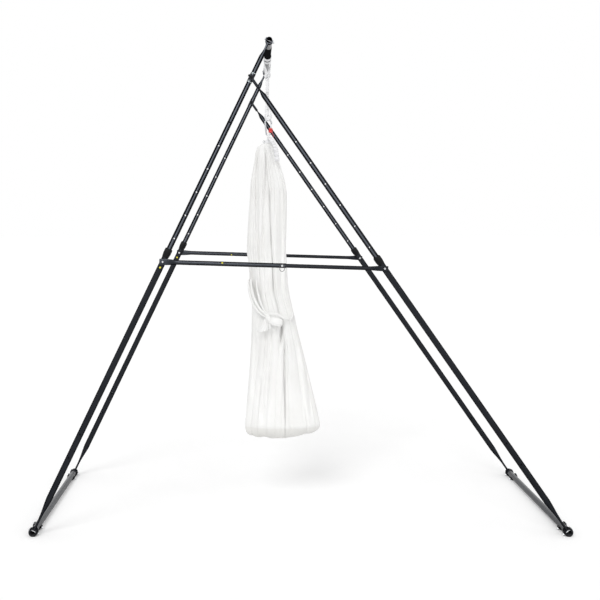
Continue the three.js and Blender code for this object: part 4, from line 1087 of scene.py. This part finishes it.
def on_left_leg(side, run):
    """A place on the axis of a left leg, up from its clamp hole."""
    return Vector((LEFT_CLAMP[0], side * LEG_PLANE, LEFT_CLAMP[1])) + LEG_AHEAD * run


def make_hole_plug(end, side):
    """A plug in the top hole of a left upper leg."""
    face, rim = TUBE_FACE + 0.0001, 0.0032
    profile = [(rim, -face), (HOLE_PLUG_RADIUS, 0.0006 - face), (HOLE_PLUG_RADIUS, face - 0.0006), (rim, face)]
    plug = turned(profile, on_left_leg(side, TOP_HOLE_RUN), BACK, 20)
    made(f"hole_plug_{end}", [plug], "black_plastic", "left_upper")


def make_pivot_highlights_and_knob():
    """Bright zinc rims and seam strips on the front pivot sleeve, set on its highlight lines as painted highlights,
    low enough for the fork's ears to pass, and the sleeve's knob.
    """
    ahead, out = LEG_AHEAD, FRONT
    across = Vector((ahead.z, 0, -ahead.x))
    pivot = on_left_leg(-1, PIVOT_RUN)
    wide, deep = SLEEVE_FACE + 0.0006, SLEEVE_FACE - 0.0007
    painted_highlight_strips = []
    # Rims at the sleeve's ends and seam strips along it sit where the sleeve shows highlight lines: painted
    # highlights.
    for run in (-0.028, 0.029):
        ring = [pivot + ahead * run + across * (wide * cos(a)) + out * (deep * sin(a)) for a in angles(40)]
        painted_highlight_strips.append(sweep(ring, oval(0.0030, 0.0018, 8), across, closed=True))
    for low, high in ((-0.030, -0.0165), (0.0165, 0.030)):
        line = [pivot + ahead * mix(low, high, t) - across * 0.0056 + out * (deep - 0.0002) for t in (0, 0.5, 1)]
        painted_highlight_strips.append(sweep(line, oval(0.0034, 0.0022, 8), out))
    made("pivot_sleeve_painted_highlights", painted_highlight_strips, "zinc", "left_upper", finish=HIGHLIGHT_ZINC)
    profile = [(0.0045, -0.0006), (0.0068, 0.0006), (0.0074, 0.0035), (0.0066, 0.0062), (0.0035, 0.0072)]
    knob = turned([(radius, SLEEVE_FACE + rise) for radius, rise in profile], pivot + ahead * 0.0068, -across)
    made("pivot_knob", [knob], "black_plastic", "left_upper")


def make_bar_grip():
    """The rubber wrap on the front half of the top bar."""
    edge = GRIP_RADIUS - 0.0011
    profile = [
        (edge, GRIP_START), (GRIP_RADIUS, GRIP_START + 0.0003), (GRIP_RADIUS, GRIP_END - 0.001), (edge, GRIP_END),
    ]
    grip = turned(profile, bar_at(0, 0, BAR_Z), FRONT, 48)
    made("bar_grip", [grip], "rubber", "left_upper", finish=MATTE_RUBBER)


# ---- stage

# Each lamp's name, power, angle and turn, in degrees
LAMPS = (("key", 0.95, 25, (48, 0, -22)), ("fill", 0.42, 60, (60, 0, 45)), ("front", 0.27, 22, (76, 0, -8)))
WORLD_LIGHT, FLOOR_GLOW, FLOOR_REACH = 0.66, 0.2, 60


def make_stage():
    """A white world, three soft suns and a pale floor that keeps the shadow."""
    sky = Graph("studio", "worlds", "Background")
    bpy.context.scene.world = sky.owner
    rays = sky.add("ShaderNodeLightPath").outputs
    seen = rays["Is Camera Ray"]
    for kind in ("Is Glossy Ray", "Is Transmission Ray"):
        seen = sky.math("ADD", seen, rays[kind], clamp=True)
    sky.set(Color=(1, 1, 1, 1), Strength=sky.range(seen, 0.0, 1.0, WORLD_LIGHT, 1.0))

    for name, power, angle, turn in LAMPS:
        data = bpy.data.lights.new(name, "SUN")
        data.energy, data.angle = power, radians(angle)
        placed(name, data).rotation_euler = [radians(t) for t in turn]

    g = Graph("floor")
    grain = g.noise(g.coords(), 3, 2)
    tone = g.ramp(grain, [(0.3, (0.86, 0.86, 0.86)), (0.7, (0.88, 0.88, 0.88))])
    g.set(Base_Color=tone, Roughness=0.9, Specular_IOR_Level=0.1)
    path = g.add("ShaderNodeLightPath").outputs["Is Camera Ray"]
    g.set(Emission_Color=(1, 1, 1, 1), Emission_Strength=g.math("MULTIPLY", path, FLOOR_GLOW))
    mesh = bpy.data.meshes.new("floor")
    corners = [(x * FLOOR_REACH, y * FLOOR_REACH, 0) for x, y in ((-1, -1), (1, -1), (1, 1), (-1, 1))]
    mesh.from_pydata(corners, [], [(0, 1, 2, 3)])
    mesh.materials.append(g.owner)
    placed("floor", mesh)
    bpy.context.scene.view_settings.view_transform = "Standard"


make_camera()
dress_cad_nodes()
widen_tubes()
make_sling_loop()
make_sling_strap()
make_carabiner()
make_choker()
silk = hammock_cloth()
tie = make_tie()
for end, side in ENDS:
    make_sticker(f"leg_sticker_{end}", "left_lower", -0.0365, LEG_AHEAD, side * LEG_PLANE, LEG_RADIUS, 0)
    make_hole_plug(end, side)
    if end == "front":
        make_pivot_highlights_and_knob()
make_bar_grip()
for (end, side), run in zip(ENDS, (0.347, 0.372)):
    plane, lean = side * CROSSBAR_PLANE, -0.6 * side
    make_sticker(f"crossbar_sticker_{end}", "crossbar_outer", run, BAR_AHEAD, plane, CROSSBAR_RADIUS, lean)
make_stage()
